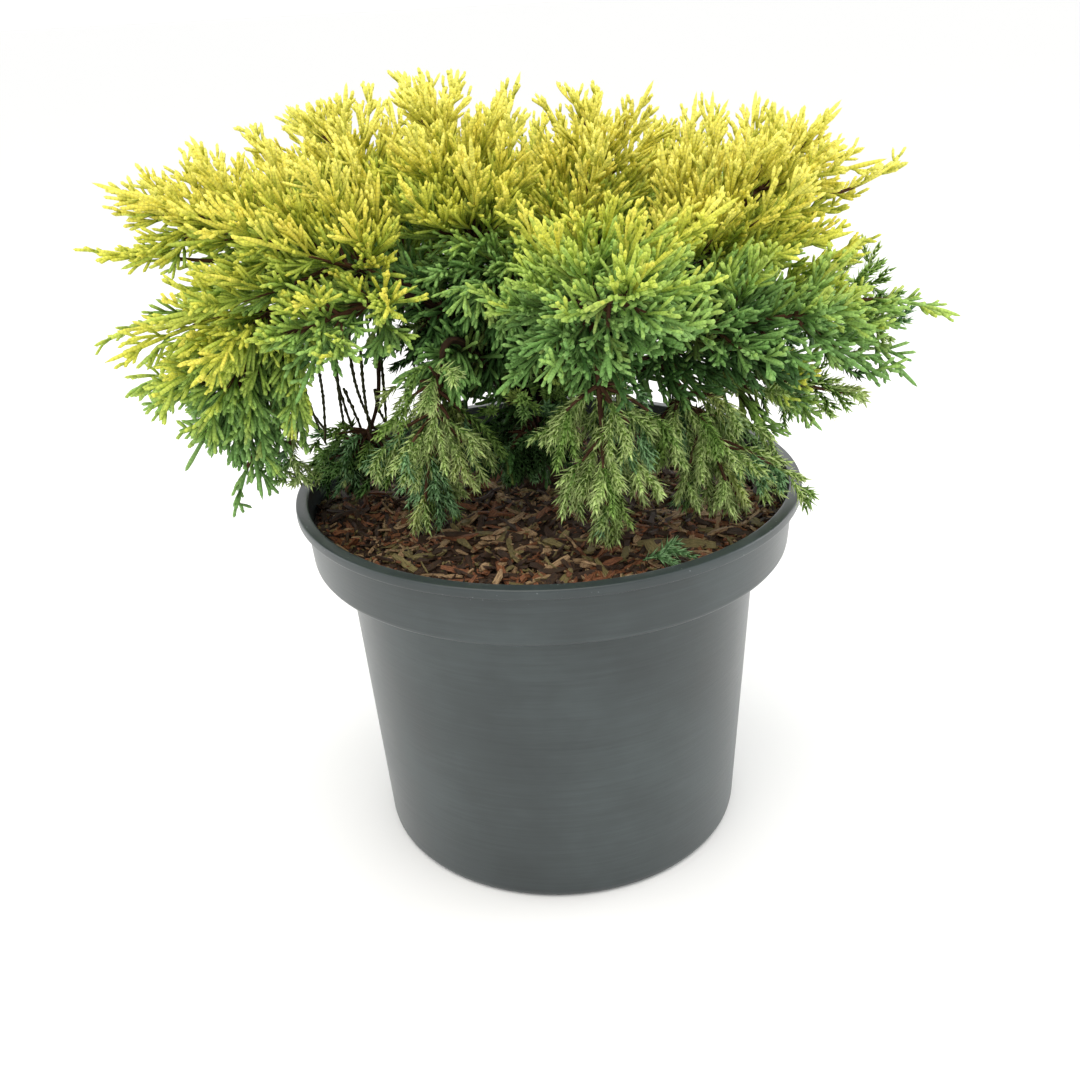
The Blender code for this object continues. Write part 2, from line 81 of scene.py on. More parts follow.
def putMesh(name, points, faceSets, finish, growth=None, smooth=True):
    # Corner numbers of triangles, quads and caps are laid end to end and put in at once. Growth is three
    # numbers for each point, which its finish reads
    corners = np.concatenate([faces.ravel() for faces in faceSets]).astype(np.int32)
    sizes = np.concatenate([np.full(len(faces), faces.shape[1]) for faces in faceSets])
    mesh = bpy.data.meshes.new(name)
    mesh.vertices.add(len(points))
    mesh.vertices.foreach_set("co", points.astype(np.float32).ravel())
    mesh.loops.add(len(corners))
    mesh.loops.foreach_set("vertex_index", corners)
    mesh.polygons.add(len(sizes))
    mesh.polygons.foreach_set("loop_start", (np.cumsum(sizes) - sizes).astype(np.int32))
    mesh.polygons.foreach_set("use_smooth", np.full(len(sizes), smooth))
    mesh.update(calc_edges=True)
    if growth is not None:
        mesh.attributes.new("growth", "FLOAT_VECTOR", "POINT").data.foreach_set(
            "vector", growth.astype(np.float32).ravel())
    mesh.materials.append(finish)
    piece = bpy.data.objects.new(name, mesh)
    bpy.context.scene.collection.objects.link(piece)
    print(f"{name}: {(sizes - 2).sum()} triangles")
    return piece


def joinParts(parts):
    # Parts of (points, face sets, growth) laid end to end, with their corner numbers moved on
    points, growth, faceSets, first = [], [], {}, 0
    for partPoints, partFaces, partGrowth in parts:
        for faces in partFaces:
            faceSets.setdefault(faces.shape[1], []).append(faces + first)
        points.append(partPoints)
        growth.append(partGrowth)
        first += len(partPoints)
    faceSets = [np.concatenate(sets) for sets in faceSets.values()]
    return np.concatenate(points), faceSets, np.concatenate(growth)


def wrapped(grid):
    # Quads between neighbouring rows of a grid of corner numbers that closes round on itself
    near, far = grid[:-1], grid[1:]
    return np.stack([near, np.roll(near, -1, 1), np.roll(far, -1, 1), far], -1).reshape(-1, 4)


def unit(vectors):
    return vectors / np.maximum(np.linalg.norm(vectors, axis=-1, keepdims=True), 1e-9)


def heading(azimuth, elevation):
    a, e = math.radians(azimuth), math.radians(elevation)
    return np.array((math.cos(e) * math.cos(a), math.cos(e) * math.sin(a), math.sin(e)))


def bezier(controls, shares):
    # Repeated blending of neighbouring control points, for a whole array of shares
    points = [np.array(c, float)[None] for c in controls]
    shares = np.atleast_1d(shares)[:, None]
    while len(points) > 1:
        points = [a + (b - a) * shares for a, b in zip(points, points[1:])]
    return points[0]


def onCurve(curves, share):
    # Point of each three-point curve: (1-t)^2 start + 2t(1-t) knee + t^2 tip
    t = share[..., None]
    start, knee, tip = curves[..., 0, :], curves[..., 1, :], curves[..., 2, :]
    return (1 - t) ** 2 * start + 2 * t * (1 - t) * knee + t * t * tip


def aheadOn(curves, share):
    # Direction of each curve: (1-t)(knee - start) + t(tip - knee), made one long
    t = share[..., None]
    start, knee, tip = curves[..., 0, :], curves[..., 1, :], curves[..., 2, :]
    return unit((1 - t) * (knee - start) + t * (tip - knee))


def squareTo(along, reference=None):
    # Two directions square to each given direction and to each other
    if reference is None:
        upright = np.abs(along[..., 2:3]) > 0.9
        reference = np.where(upright, (1.0, 0.0, 0.0), (0.0, 0.0, 1.0))
    across = unit(np.cross(along, reference))
    return across, np.cross(along, across)


print("camera, floor and light")

# the camera as worked out from the pot's ellipses: its place, the azimuth and elevation it looks along, how
# far it is tipped to its side, in degrees, and its lens and sensor in mm
view = {
    "place": (0.0, -0.491554, 0.367922), "azimuth": 90.5696, "elevation": -25.105, "roll": -3.0284,
    "lens": 38.833, "sensor": 36.0,
}
lights = [
    # name, place, aimed at, size in metres, power, colour
    ("overhead", (-0.15, -0.45, 1.45), (0, 0, 0.22), 1.3, 9.0, "#fffaf2"),
    ("front_left", (-1.15, -0.95, 0.75), (0, 0, 0.18), 0.9, 1.0, "#ffffff"),
    ("front_right", (1.25, -0.75, 0.70), (0, 0, 0.18), 0.9, 1.0, "#ffffff"),
    ("left_side", (-1.45, 0.35, 0.55), (0, 0, 0.15), 1.1, 5.2, "#ffffff"),
    ("right_side", (1.45, 0.35, 0.55), (0, 0, 0.15), 1.1, 8.5, "#ffffff"),
    ("behind", (0.10, 1.30, 1.00), (0, 0, 0.22), 1.0, 2.2, "#ffffff"),
]
surroundings = {"colour": "#ffffff", "strength": 1.10, "floorSize": 60.0, "floor": "#f4f4f3"}


def aimed(ob, place, right, up, ahead):
    rows = [[right[k], up[k], -ahead[k], place[k]] for k in range(3)] + [[0, 0, 0, 1]]
    ob.matrix_world = Matrix(rows)


def makeStage():
    camera = bpy.data.objects.new("camera", bpy.data.cameras.new("camera"))
    camera.data.lens, camera.data.sensor_width = view["lens"], view["sensor"]
    camera.data.clip_start = 0.01
    bpy.context.scene.collection.objects.link(camera)
    ahead, roll = heading(view["azimuth"], view["elevation"]), math.radians(view["roll"])
    level, downward = squareTo(ahead)
    right = level * math.cos(roll) - downward * math.sin(roll)
    aimed(camera, view["place"], right, np.cross(right, ahead), ahead)
    bpy.context.scene.camera = camera
    for name, place, target, size, power, colour in lights:
        lamp = bpy.data.lights.new(name, "AREA")
        lamp.shape, lamp.size, lamp.energy, lamp.color = "DISK", size, power, linear(colour)[:3]
        ob = bpy.data.objects.new(name, lamp)
        bpy.context.scene.collection.objects.link(ob)
        ahead = unit(np.array(target, float) - np.array(place, float))
        across = squareTo(ahead)[0]
        aimed(ob, place, across, np.cross(across, ahead), ahead)
    world = bpy.data.worlds.new("soft_white")
    world.use_nodes = True
    world.node_tree.nodes["Background"].inputs["Color"].default_value = linear(surroundings["colour"])
    world.node_tree.nodes["Background"].inputs["Strength"].default_value = surroundings["strength"]
    bpy.context.scene.world = world
    bpy.context.scene.view_settings.view_transform = "Standard"
    # matt studio paper, which gives the eye a soft, even floor
    paper = newFinish("matt_studio_paper", {"Base Color": linear(surroundings["floor"]), "Roughness": 0.9,
                                            "Specular IOR Level": 0.2})[0]
    size = surroundings["floorSize"]
    corners = np.array([(-size, -size, 0), (size, -size, 0), (size, size, 0), (-size, size, 0)], float)
    putMesh("floor", corners, [np.array([[0, 1, 2, 3]])], paper)


makeStage()

print("plan of the plant")

pot = {
    "height": 0.170, "lipRadius": 0.113, "lipHeight": 0.0045, "bandHeight": 0.0230,
    "bandTop": 0.1094, "bandFoot": 0.1080, "bodyTop": 0.0938, "bodyFoot": 0.0860,
    "wall": 0.0020, "sides": 256,
    "holes": 6, "holeRadius": 0.006, "holeRing": 0.056, "holeSides": 24, "drillReach": 0.01,
    # how far each corner of the outside is rounded, and each of the inside
    "outerRounds": [0, 0.0042, 0.0022, 0.0026, 0.0006, 0.0011, 0.0011, 0.0009], "innerRound": 0.0012,
    # how far the inside slopes in and up at its foot, the small set-backs of band, lip and rim, the inside's
    # drop below the rim, and the angle above which an edge is sharp
    "footSlope": (0.002, 0.003), "slip": 0.0002, "rimDrop": 0.001, "sharpFrom": math.radians(50),
}
soil = {
    "edge": 0.1575, "crown": 0.1610, "gap": 0.0003, "rings": 52, "sides": 200, "sunk": 0.0004,
    "flatShare": 0.75,
    # lumps: pitch, height and seed of each size
    "lumps": ((0.016, 0.0012, 1), (0.006, 0.0009, 2), (0.0025, 0.0005, 3)),
}
trunk = {
    "foot": (-0.003, 0.020, 0.0), "top": (-0.008, 0.008, 0.216), "radius": 0.0068, "topRadius": 0.0042,
    "sway": (-0.004, 0.002, 0), "kneeShare": 0.9, "kneeShift": (0.002, 0, 0),
    "flare": 0.0065, "flareHeight": 0.010, "flareFall": 1.6, "flatPatch": 0.021,
    "stations": [0, 0.05, 0.14, 0.30, 0.50, 0.75, 1.0], "roots": 3, "rootSize": 0.22,
}
# each limb: the one that bears it, how far up it leaves, its radius there and at its tip
limbs = {
    "left_top": ("trunk", 0.58, 0.0030, 0.0017), "left_low": ("left_top", 0.40, 0.0021, 0.0014),
    "left_inner": ("left_top", 0.72, 0.0018, 0.0013), "rear_low_left": ("left_low", 0.50, 0.0011, 0.0008),
    "top_left": ("left_top", 0.20, 0.0023, 0.0015), "top_centre": ("trunk", 1.0, 0.0032, 0.0017),
    "top_right": ("top_centre", 0.42, 0.0022, 0.0015), "right_top": ("trunk", 0.82, 0.0028, 0.0017),
    "right_far": ("right_top", 0.42, 0.0021, 0.0014), "right_mid": ("trunk", 0.45, 0.0027, 0.0016),
    "right_low": ("right_mid", 0.36, 0.0019, 0.0013), "right_droop": ("right_mid", 0.58, 0.0017, 0.0011),
    "front_fan": ("trunk", 0.60, 0.0028, 0.0016), "front_droop_right": ("front_fan", 0.50, 0.0018, 0.0011),
    "centre_inner": ("top_centre", 0.12, 0.0020, 0.0013), "front_droop_left": ("trunk", 0.42, 0.0022, 0.0013),
    "back_left": ("trunk", 0.48, 0.0028, 0.0016), "back_mid": ("trunk", 0.74, 0.0026, 0.0016),
    "back_right": ("trunk", 0.38, 0.0027, 0.0016), "back_low": ("back_mid", 0.34, 0.0018, 0.0012),
}
# each mass: centre, half sizes, heading of its stem, twigs; then its tone from 0, blue-green, to 1,
# gold, partly the plant's own colour and partly painted shade, low for masses inside the crown such as
# centre_inner and centre_low; how its shoots turn up or hang, how much of it bears needles in place of
# cords, and how many finer twigs it has for each of the source's
masses = {
    "left_top": ((-0.109, -0.022, 0.286), (0.064, 0.056, 0.043), (184, 22), 16, 0.75, 0.30, 0.0, 2.2),
    "left_low": ((-0.124, -0.032, 0.232), (0.044, 0.046, 0.050), (205, -52), 13, 0.56, -0.15, 0.1, 4.2),
    "left_inner": ((-0.080, -0.050, 0.259), (0.034, 0.032, 0.026), (225, -5), 7, 0.52, 0.10, 0.0, 2.8),
    "rear_low_left": ((-0.086, 0.006, 0.181), (0.028, 0.026, 0.018), (185, -62), 6, 0.36, -0.35, 1.0, 5.0),
    "top_left": ((-0.074, 0.028, 0.297), (0.046, 0.048, 0.037), (145, 55), 12, 0.74, 0.45, 0.0, 3.4),
    "top_centre": ((-0.034, 0.012, 0.303), (0.046, 0.050, 0.040), (165, 76), 13, 0.80, 0.45, 0.0, 2.8),
    "top_right": ((0.022, 0.028, 0.294), (0.047, 0.048, 0.039), (50, 74), 12, 0.80, 0.45, 0.0, 2.8),
    "right_top": ((0.088, 0.000, 0.286), (0.054, 0.052, 0.041), (8, 45), 15, 0.82, 0.45, 0.0, 3.0),
    "right_far": ((0.123, 0.002, 0.237), (0.043, 0.050, 0.038), (2, -12), 14, 0.46, 0.10, 0.1, 0.6),
    "right_mid": ((0.078, -0.042, 0.247), (0.046, 0.046, 0.041), (-25, 12), 12, 0.31, 0.20, 0.0, 2.4),
    "right_low": ((0.105, -0.012, 0.212), (0.038, 0.038, 0.029), (-6, -12), 9, 0.62, -0.10, 0.3, 1.2),
    "right_droop": ((0.066, -0.048, 0.200), (0.032, 0.030, 0.034), (-42, -55), 9, 0.70, -0.80, 1.0, 1.4),
    "front_fan": ((0.025, -0.082, 0.268), (0.044, 0.046, 0.038), (-76, 18), 13, 0.45, 0.25, 0.0, 2.0),
    "front_droop_right": ((0.022, -0.074, 0.207), (0.030, 0.028, 0.040), (-85, -72), 9, 0.7, -0.8, 1.0, 1.2),
    "centre_inner": ((-0.034, -0.014, 0.252), (0.036, 0.036, 0.044), (-150, -12), 9, 0.25, -0.55, 0.2, 6.0),
    "front_droop_left": ((-0.046, -0.054, 0.206), (0.028, 0.027, 0.040), (-125, -72), 9, 0.76, -0.8, 1, 1.2),
    "centre_low": ((-0.010, -0.018, 0.198), (0.026, 0.028, 0.028), (-108, -10), 6, 0.17, -0.45, 0.5, 5.0),
    "back_left": ((-0.090, 0.086, 0.264), (0.056, 0.054, 0.051), (134, 15), 13, 0.56, 0.25, 0.0, 2.6),
    "back_mid": ((-0.002, 0.110, 0.266), (0.048, 0.046, 0.050), (92, 15), 12, 0.56, 0.25, 0.0, 2.8),
    "back_right": ((0.082, 0.088, 0.267), (0.056, 0.054, 0.050), (47, 15), 13, 0.54, 0.25, 0.0, 2.6),
    "back_low": ((0.000, 0.078, 0.203), (0.052, 0.036, 0.030), (90, -30), 9, 0.36, -0.45, 0.8, 3.6),
}
grow = {
    "limbRise": 0.38, "limbOut": 0.38, "limbIn": 0.34, "limbSteps": 6,
    "entry": 0.86, "stemReach": 0.72, "leaderReach": 0.93, "twigRadius": 0.0019, "twigRoom": 0.0006,
    "margin": 0.030, "reach": 1.05, "outerTips": (0.80, 0.96), "innerTips": (0.62, 0.76), "bulge": 0.14,
    "shortest": 0.016, "twigSteps": 12,
    # a twig leaves the stem behind its tip by so much of its way aside, between these shares of the stem's
    # length, and points back no further than this
    "footBehind": 0.9, "footLeast": 0.10, "footMost": 0.85, "backward": -0.25,
    "finerTips": (0.40, 1.00), "finerTurn": 1.9, "finerRadius": 0.0009, "finerBackward": -0.80,
    # where no sky shows between two masses, growth reaches further out: up to seam's first depth, within
    # its second depth of the next mass, above seamFrom, or heartFrom near the plant's middle
    "seam": (1.40, 1.55), "seamTips": (1.00, 1.22), "seamOut": (-0.168, 0.124), "seamFrom": 0.235,
    "heartFrom": 0.184, "heart": 0.062,
    # the skyline: a ceiling with a crest on it, which falls off to both sides of a level stretch
    "ceiling": 0.3345, "crest": 0.009, "crestAt": -0.045, "crestWide": 0.034,
    "level": (-0.068, 0.088), "fall": 0.17,
}
# room that growth keeps: outside the lip, inside the band, above the lip and above the mulch; clear of the
# pot it may hang down to the floor height given
clearance = {"outside": 0.004, "inside": 0.007, "aboveLip": 0.003, "aboveMulch": 0.0035, "lowest": 0.05}
# open air that the photo shows under the left mass, where only bare twigs hang, and at its low left corner:
# centre, half sizes, and how each leans as it goes back (x and z for each metre of y)
openAir = [((-0.088, -0.010, 0.217), (0.018, 0.050, 0.016), (-0.18, -0.31)),
           ((-0.155, -0.032, 0.192), (0.015, 0.050, 0.017), (-0.33, -0.37))]
# sprays that stand out alone in the photo: mass, foot, knee, tip, and 1 for a foxtail or 0 for a corded one
loneSprays = [
    ("right_droop", (0.060, -0.044, 0.204), (0.088, -0.052, 0.198), (0.107, -0.061, 0.177), 1),
    ("right_droop", (0.066, -0.046, 0.200), (0.084, -0.044, 0.190), (0.094, -0.050, 0.176), 1),
    ("left_low", (-0.104, -0.034, 0.216), (-0.110, -0.030, 0.202), (-0.106, -0.026, 0.181), 1),
    ("left_low", (-0.112, -0.030, 0.214), (-0.116, -0.022, 0.198), (-0.114, -0.016, 0.178), 1),
    ("left_low", (-0.116, -0.040, 0.208), (-0.126, -0.042, 0.196), (-0.130, -0.044, 0.180), 0),
    ("left_top", (-0.120, -0.034, 0.262), (-0.150, -0.036, 0.262), (-0.172, -0.040, 0.252), 0),
    ("left_top", (-0.126, -0.026, 0.278), (-0.150, -0.030, 0.282), (-0.172, -0.034, 0.286), 0),
    ("right_far", (0.128, -0.004, 0.244), (0.152, -0.004, 0.246), (0.172, -0.006, 0.238), 0),
    ("right_top", (0.112, 0.000, 0.286), (0.132, -0.002, 0.288), (0.149, -0.002, 0.300), 0),
]
names = list(masses)
centres = np.array([masses[n][0] for n in names])
halves = np.array([masses[n][1] for n in names])
tones = np.array([masses[n][4] for n in names])
lifts = np.array([masses[n][5] for n in names])
youth = np.array([masses[n][6] for n in names])


def trunkPath(shares):
    foot = np.array(trunk["foot"]) + (0, 0, soil["crown"] + soil["gap"])
    top = np.array(trunk["top"])
    knee = foot + (top - foot) * 0.5 + trunk["sway"]
    return bezier([foot, foot + (knee - foot) * trunk["kneeShare"] + trunk["kneeShift"], top], shares)


def trunkRadii(path):
    # From the foot's radius to the top's, with a flare that dies away upwards: e^(-fall * rise / height)
    up = path[:, 2] - path[0, 2]
    return (trunk["radius"] + (trunk["topRadius"] - trunk["radius"]) * (up / up[-1])
            + trunk["flare"] * np.exp(-up / trunk["flareHeight"] * trunk["flareFall"]))


def massRoot(name):
    # A mass's stem begins on its near side: centre - aim * reach * entry
    centre, half, (azimuth, elevation) = masses[name][:3]
    aim = heading(azimuth, elevation)
    reach = 1 / math.sqrt(((aim / np.array(half)) ** 2).sum())
    return np.array(centre) - aim * reach * grow["entry"], aim, reach


def alongPath(path, share):
    lengths = np.linalg.norm(np.diff(path, axis=0), axis=1)
    left = share * lengths.sum()
    k = min(len(lengths) - 1, int(np.searchsorted(np.cumsum(lengths), left)))
    left -= lengths[:k].sum()
    return path[k] + (path[k + 1] - path[k]) * min(1.0, left / lengths[k]), unit(path[k + 1] - path[k])


def planLimbs():
    # Every limb's control points: out of its bearer, and into its mass along the stem's heading
    path = trunkPath(np.array(trunk["stations"]))
    plan = {"trunk": (path, trunkRadii(path), None)}
    for name, (bearer, share, radius, tipRadius) in limbs.items():
        start, onward = alongPath(plan[bearer][0], share)
        end, aim, _ = massRoot(name)
        if share == 1.0:
            start = start + onward * soil["gap"]
        else:
            onward = unit(onward * grow["limbRise"] + unit(end - start))
        span = np.linalg.norm(end - start)
        controls = [start, start + onward * span * grow["limbOut"], end - aim * span * grow["limbIn"], end]
        shares = np.linspace(0, 1, grow["limbSteps"] + 1)
        plan[name] = (bezier(controls, shares), radius + (tipRadius - radius) * shares, controls)
    return plan


plan = planLimbs()
barFrom = np.concatenate([path[:-1] for path, _, _ in plan.values()])
barSpan = np.concatenate([np.diff(path, axis=0) for path, _, _ in plan.values()])
barRadius = np.concatenate([radii[:-1] for _, radii, _ in plan.values()])


def clearOfLimbs(points, room, batch=4000):
    # Distance to the nearest point of each limb's bars, less the bar's radius, is at least room
    free = np.ones(len(points), bool)
    for first in range(0, len(points), batch):
        away = points[first:first + batch, None] - barFrom
        share = np.clip((away * barSpan).sum(-1) / (barSpan ** 2).sum(-1), 0, 1)
        gap = np.linalg.norm(away - barSpan * share[..., None], axis=-1) - barRadius
        free[first:first + batch] = (gap >= room).all(1)
    return free


def clearOfPot(points):
    # Above the mulch inside the pot, above the lip over its wall, and above the lowest height outside it
    away = np.hypot(points[:, 0], points[:, 1])
    floor = np.where(away > pot["bandTop"] - clearance["inside"], pot["height"] + clearance["aboveLip"],
                     soil["crown"] + clearance["aboveMulch"])
    floor = np.where(away > pot["lipRadius"] + clearance["outside"], clearance["lowest"], floor)
    return points[:, 2] > floor


def depths(points):
    # How far out each point lies in every mass's space: 0 at its centre, 1 at its surface
    return np.sqrt((((points[:, None] - centres) / halves) ** 2).sum(-1))


def inOpenAir(points):
    # Inside an ellipsoid that is sheared along y
    found = np.zeros(len(points), bool)
    for centre, half, lean in openAir:
        away = points - centre
        away[:, 0] -= away[:, 1] * lean[0]
        away[:, 2] -= away[:, 1] * lean[1]
        found |= ((away / half) ** 2).sum(-1) < 1
    return found


def isFree(points, owner, room, reach=grow["reach"], margin=grow["margin"]):
    # In its own mass's space, clear of limbs, pot and mulch. Between two masses, high up or in the heart of
    # the plant, where no sky shows, it may reach further out, to close the seam
    every = depths(points)
    rows = np.arange(len(points))
    own = every[rows, owner]
    every[rows, owner] = np.inf
    other = every.min(1)
    heart = np.hypot(points[:, 0], points[:, 1]) < grow["heart"]
    lowest = np.where(heart, grow["heartFrom"], grow["seamFrom"])
    between = (other < grow["seam"][1]) & (points[:, 2] > lowest)
    between &= (points[:, 0] > grow["seamOut"][0]) & (points[:, 0] < grow["seamOut"][1])
    far = np.where(between & (margin <= 0), np.maximum(grow["seam"][0], reach), reach)
    free = (own <= far) & (other >= own + margin) & clearOfPot(points) & clearOfLimbs(points, room)
    beyond = np.maximum(np.maximum(grow["level"][0] - points[:, 0], points[:, 0] - grow["level"][1]), 0)
    crest = grow["crest"] * np.exp(-((points[:, 0] - grow["crestAt"]) / grow["crestWide"]) ** 2)
    return free & ~inOpenAir(points) & (points[:, 2] < grow["ceiling"] + crest - grow["fall"] * beyond)


def mainTwigs(index):
    # Tips are spread over a mass's space by the golden angle, every third one deeper, and finer ones after
    # them; each twig leaves the stem behind its tip and sweeps forward to it, and is cut short where it
    # would leave the space or touch a limb
    name = names[index]
    centre, half, _, count = masses[name][:4]
    centre, half = np.array(centre), np.array(half)
    root, aim, reach = massRoot(name)
    rng = random.Random(name)
    first = root + aim * soil["gap"]
    length = reach * (grow["entry"] + grow["stemReach"])
    stem = np.array([first, first + aim * length * 0.5, first + aim * length])
    leader = first + aim * reach * (grow["entry"] + grow["leaderReach"])
    middle = (first + leader) / 2
    twigs = [np.array([middle, (middle + leader) / 2, leader])]
    phase = rng.uniform(0, 2 * math.pi)
    steps = grow["twigSteps"]
    samples = np.linspace(0, 1, steps + 1)
    finer = round(count * masses[name][7])
    for k in range(count + finer):
        added = k >= count
        height = 1 - 2 * ((k - count + 0.5) / finer if added else (k + 0.5) / count)
        turn = phase + k * goldenAngle + added * grow["finerTurn"]
        level = math.sqrt(1 - height * height)
        out = np.array((level * math.cos(turn), level * math.sin(turn), height))
        tips = grow["finerTips"] if added else grow["innerTips"] if k % 3 == 2 else grow["outerTips"]
        share = rng.uniform(*tips)
        inSeam = rng.uniform(*grow["seamTips"])
        seamTip = (centre + out * half * inSeam)[None]
        if added and isFree(seamTip, np.array([index]), room=0.0, reach=1.0, margin=0.0)[0]:
            share = inSeam
        tip = centre + out * half * share
        ahead = (tip - first) @ aim
        aside = np.linalg.norm(tip - first - aim * ahead)
        behind = max(grow["footLeast"] * length, ahead - grow["footBehind"] * aside)
        foot = first + aim * min(grow["footMost"] * length, behind)
        if unit(tip - foot) @ aim < (grow["finerBackward"] if added else grow["backward"]):
            continue
        span = np.linalg.norm(tip - foot)
        knee = (foot + tip) / 2 - aim * span * grow["bulge"]
        path = bezier([foot, knee, tip], samples)
        room = (grow["finerRadius"] if added else grow["twigRadius"]) + grow["twigRoom"]
        free = isFree(path, np.full(len(path), index), room, margin=0.0 if added else grow["margin"])
        free[:3] = clearOfLimbs(path[:3], room)  # close to the stem only the limbs are in its way
        free[0] = True
        good = steps if free.all() else int(np.argmin(free)) - 1
        if good * span / steps < grow["shortest"]:
            continue
        twigs.append(np.array([foot, foot + (knee - foot) * good / steps, path[good]]))
    return stem, twigs


# how much shoots differ: place between two steps, lean in radians, reach; a shoot that is not free to its tip
# is cut at a share of its length
unevenness = {"place": (0.2, 0.8), "lean": 0.17, "reach": (0.62, 1.20), "cutAt": 0.55}


def sideShoots(bearers, owner, reference, rule, rng, beyond=0.0):
    # Shoots leave each bearer at even steps, turned on step by step, lean forward and sweep along it.
    # Their reach falls off to the bearer's tip: (share * its length * (1 - place) + least). Beyond lets
    # them leave the mass's space by that many of its depths
    span = np.linalg.norm(bearers[:, 2] - bearers[:, 0], axis=1)
    stretch = rule["upTo"] - rule["bare"]
    count = np.floor(span * stretch / rule["spacing"] + 0.5).astype(int)
    bearer = np.repeat(np.arange(len(span)), count)
    rank = np.arange(len(bearer)) - np.repeat(np.cumsum(count) - count, count)
    step = rank + rng.uniform(*unevenness["place"], len(rank))
    place = rule["bare"] + stretch * step / count[bearer]
    held = bearers[bearer]
    start, ahead = onCurve(held, place), aheadOn(held, place)
    across, other = squareTo(ahead, reference[bearer])
    if rule["phase"] is None:
        phase = rng.uniform(0, 2 * math.pi, len(span))
    else:
        phase = np.full(len(span), rule["phase"])
    turn = (phase[bearer] + rank * rule["turn"] + rng.normal(0, rule["scatter"], len(rank)))[:, None]
    out = across * np.cos(turn) + other * np.sin(turn)
    lean = rng.normal(rule["lean"], unevenness["lean"], len(rank))[:, None]
    reach = rule["share"] * span[bearer] * (1 - place) + rule["least"]
    reach = np.minimum(reach * rng.uniform(*unevenness["reach"], len(rank)), rule["most"])[:, None]
    whose = owner[bearer]
    beyond = np.broadcast_to(beyond, len(span))[bearer]
    outTo, margin = rule["outTo"] + beyond, rule["margin"] - beyond
    rise = np.zeros((len(rank), 3))
    rise[:, 2] = lifts[whose] * rule["lift"]
    first = unit(ahead * np.cos(lean) + out * np.sin(lean) + rise)
    later = unit(first + ahead * rule["sweep"] + rise)
    curves = np.stack([start, start + first * reach * 0.5, start + (first + later) * reach * 0.5], axis=1)
    near = onCurve(curves, np.full(len(curves), unevenness["cutAt"]))
    nearFree = isFree(near, whose, rule["room"], outTo, margin)
    short = nearFree & ~isFree(curves[:, 2], whose, rule["room"], outTo, margin)
    cut = curves[short]
    knee = cut[:, 0] + (cut[:, 1] - cut[:, 0]) * unevenness["cutAt"]
    curves[short] = np.stack([cut[:, 0], knee, near[short]], axis=1)
    return curves[nearFree], whose[nearFree], bearer[nearFree], place[nearFree], ahead[nearFree]


freely = 9.0  # so many depths let a shoot leave its mass's space anywhere
# how side shoots grow: the stretch of the bearer that has them, their spacing, how each is turned on from
# the last, its lean from the bearer, its length (share of the bearer's, least and most), how it sweeps
# forward and rises, the room it keeps to limbs, and how far out of its mass's space it may reach
sprayRule = {
    "bare": 0.10, "upTo": 0.97, "spacing": 0.0040, "phase": None, "turn": goldenAngle, "scatter": 0.25,
    "lean": math.radians(33), "share": 0.50, "least": 0.0080, "most": 0.036, "sweep": 0.75, "lift": 0.6,
    "room": 0.0008, "outTo": 1.00, "margin": 0.0,
}
cordRule = {
    "bare": 0.06, "upTo": 0.93, "spacing": 0.0026, "phase": math.pi / 2, "turn": math.pi, "scatter": 0.80,
    "lean": math.radians(26), "share": 0.48, "least": 0.0050, "most": 0.0160, "sweep": 0.55, "lift": 0.35,
    "room": 0.0003, "outTo": 1.05, "margin": -0.02,
}
tailRule = {
    "bare": 0.05, "upTo": 0.92, "spacing": 0.0064, "phase": None, "turn": goldenAngle, "scatter": 0.30,
    "lean": math.radians(32), "share": 0.60, "least": 0.0120, "most": 0.030, "sweep": 0.60, "lift": 0.7,
    "room": 0.0020, "outTo": 0.96, "margin": 0.0,
}
tailCordRule = {
    "bare": 0.18, "upTo": 0.78, "spacing": 0.0062, "phase": math.pi / 2, "turn": math.pi, "scatter": 0.40,
    "lean": math.radians(36), "share": 0.45, "least": 0.0060, "most": 0.0140, "sweep": 0.50, "lift": 0.5,
    "room": 0.0015, "outTo": 0.98, "margin": -0.02,
}
limbRule = {
    "bare": 0.10, "upTo": 0.98, "spacing": 0.0021, "phase": None, "turn": goldenAngle, "scatter": 0.30,
    "lean": math.radians(48), "share": 0.12, "least": 0.0170, "most": 0.036, "sweep": 0.45, "lift": 0.3,
    "room": 0.0004, "outTo": freely, "margin": -freely,
}
loneRule = {
    "bare": 0.20, "upTo": 0.96, "spacing": 0.0048, "phase": 0.3, "turn": math.pi, "scatter": 0.35,
    "lean": math.radians(34), "share": 0.22, "least": 0.0070, "most": 0.018, "sweep": 0.60, "lift": 0.1,
    "room": 0.0008, "outTo": freely, "margin": -freely,
}
corded, foxtail, limbBorne = range(3)  # kinds of spray
# limbs that bear sprays along their length; front_droop_left, which shows most, bears three lots
leafyLimbs = [name for name in limbs if name != "rear_low_left"] + ["front_droop_left"] * 2


def joined(groups):
    return [np.concatenate(columns) for columns in zip(*groups)]


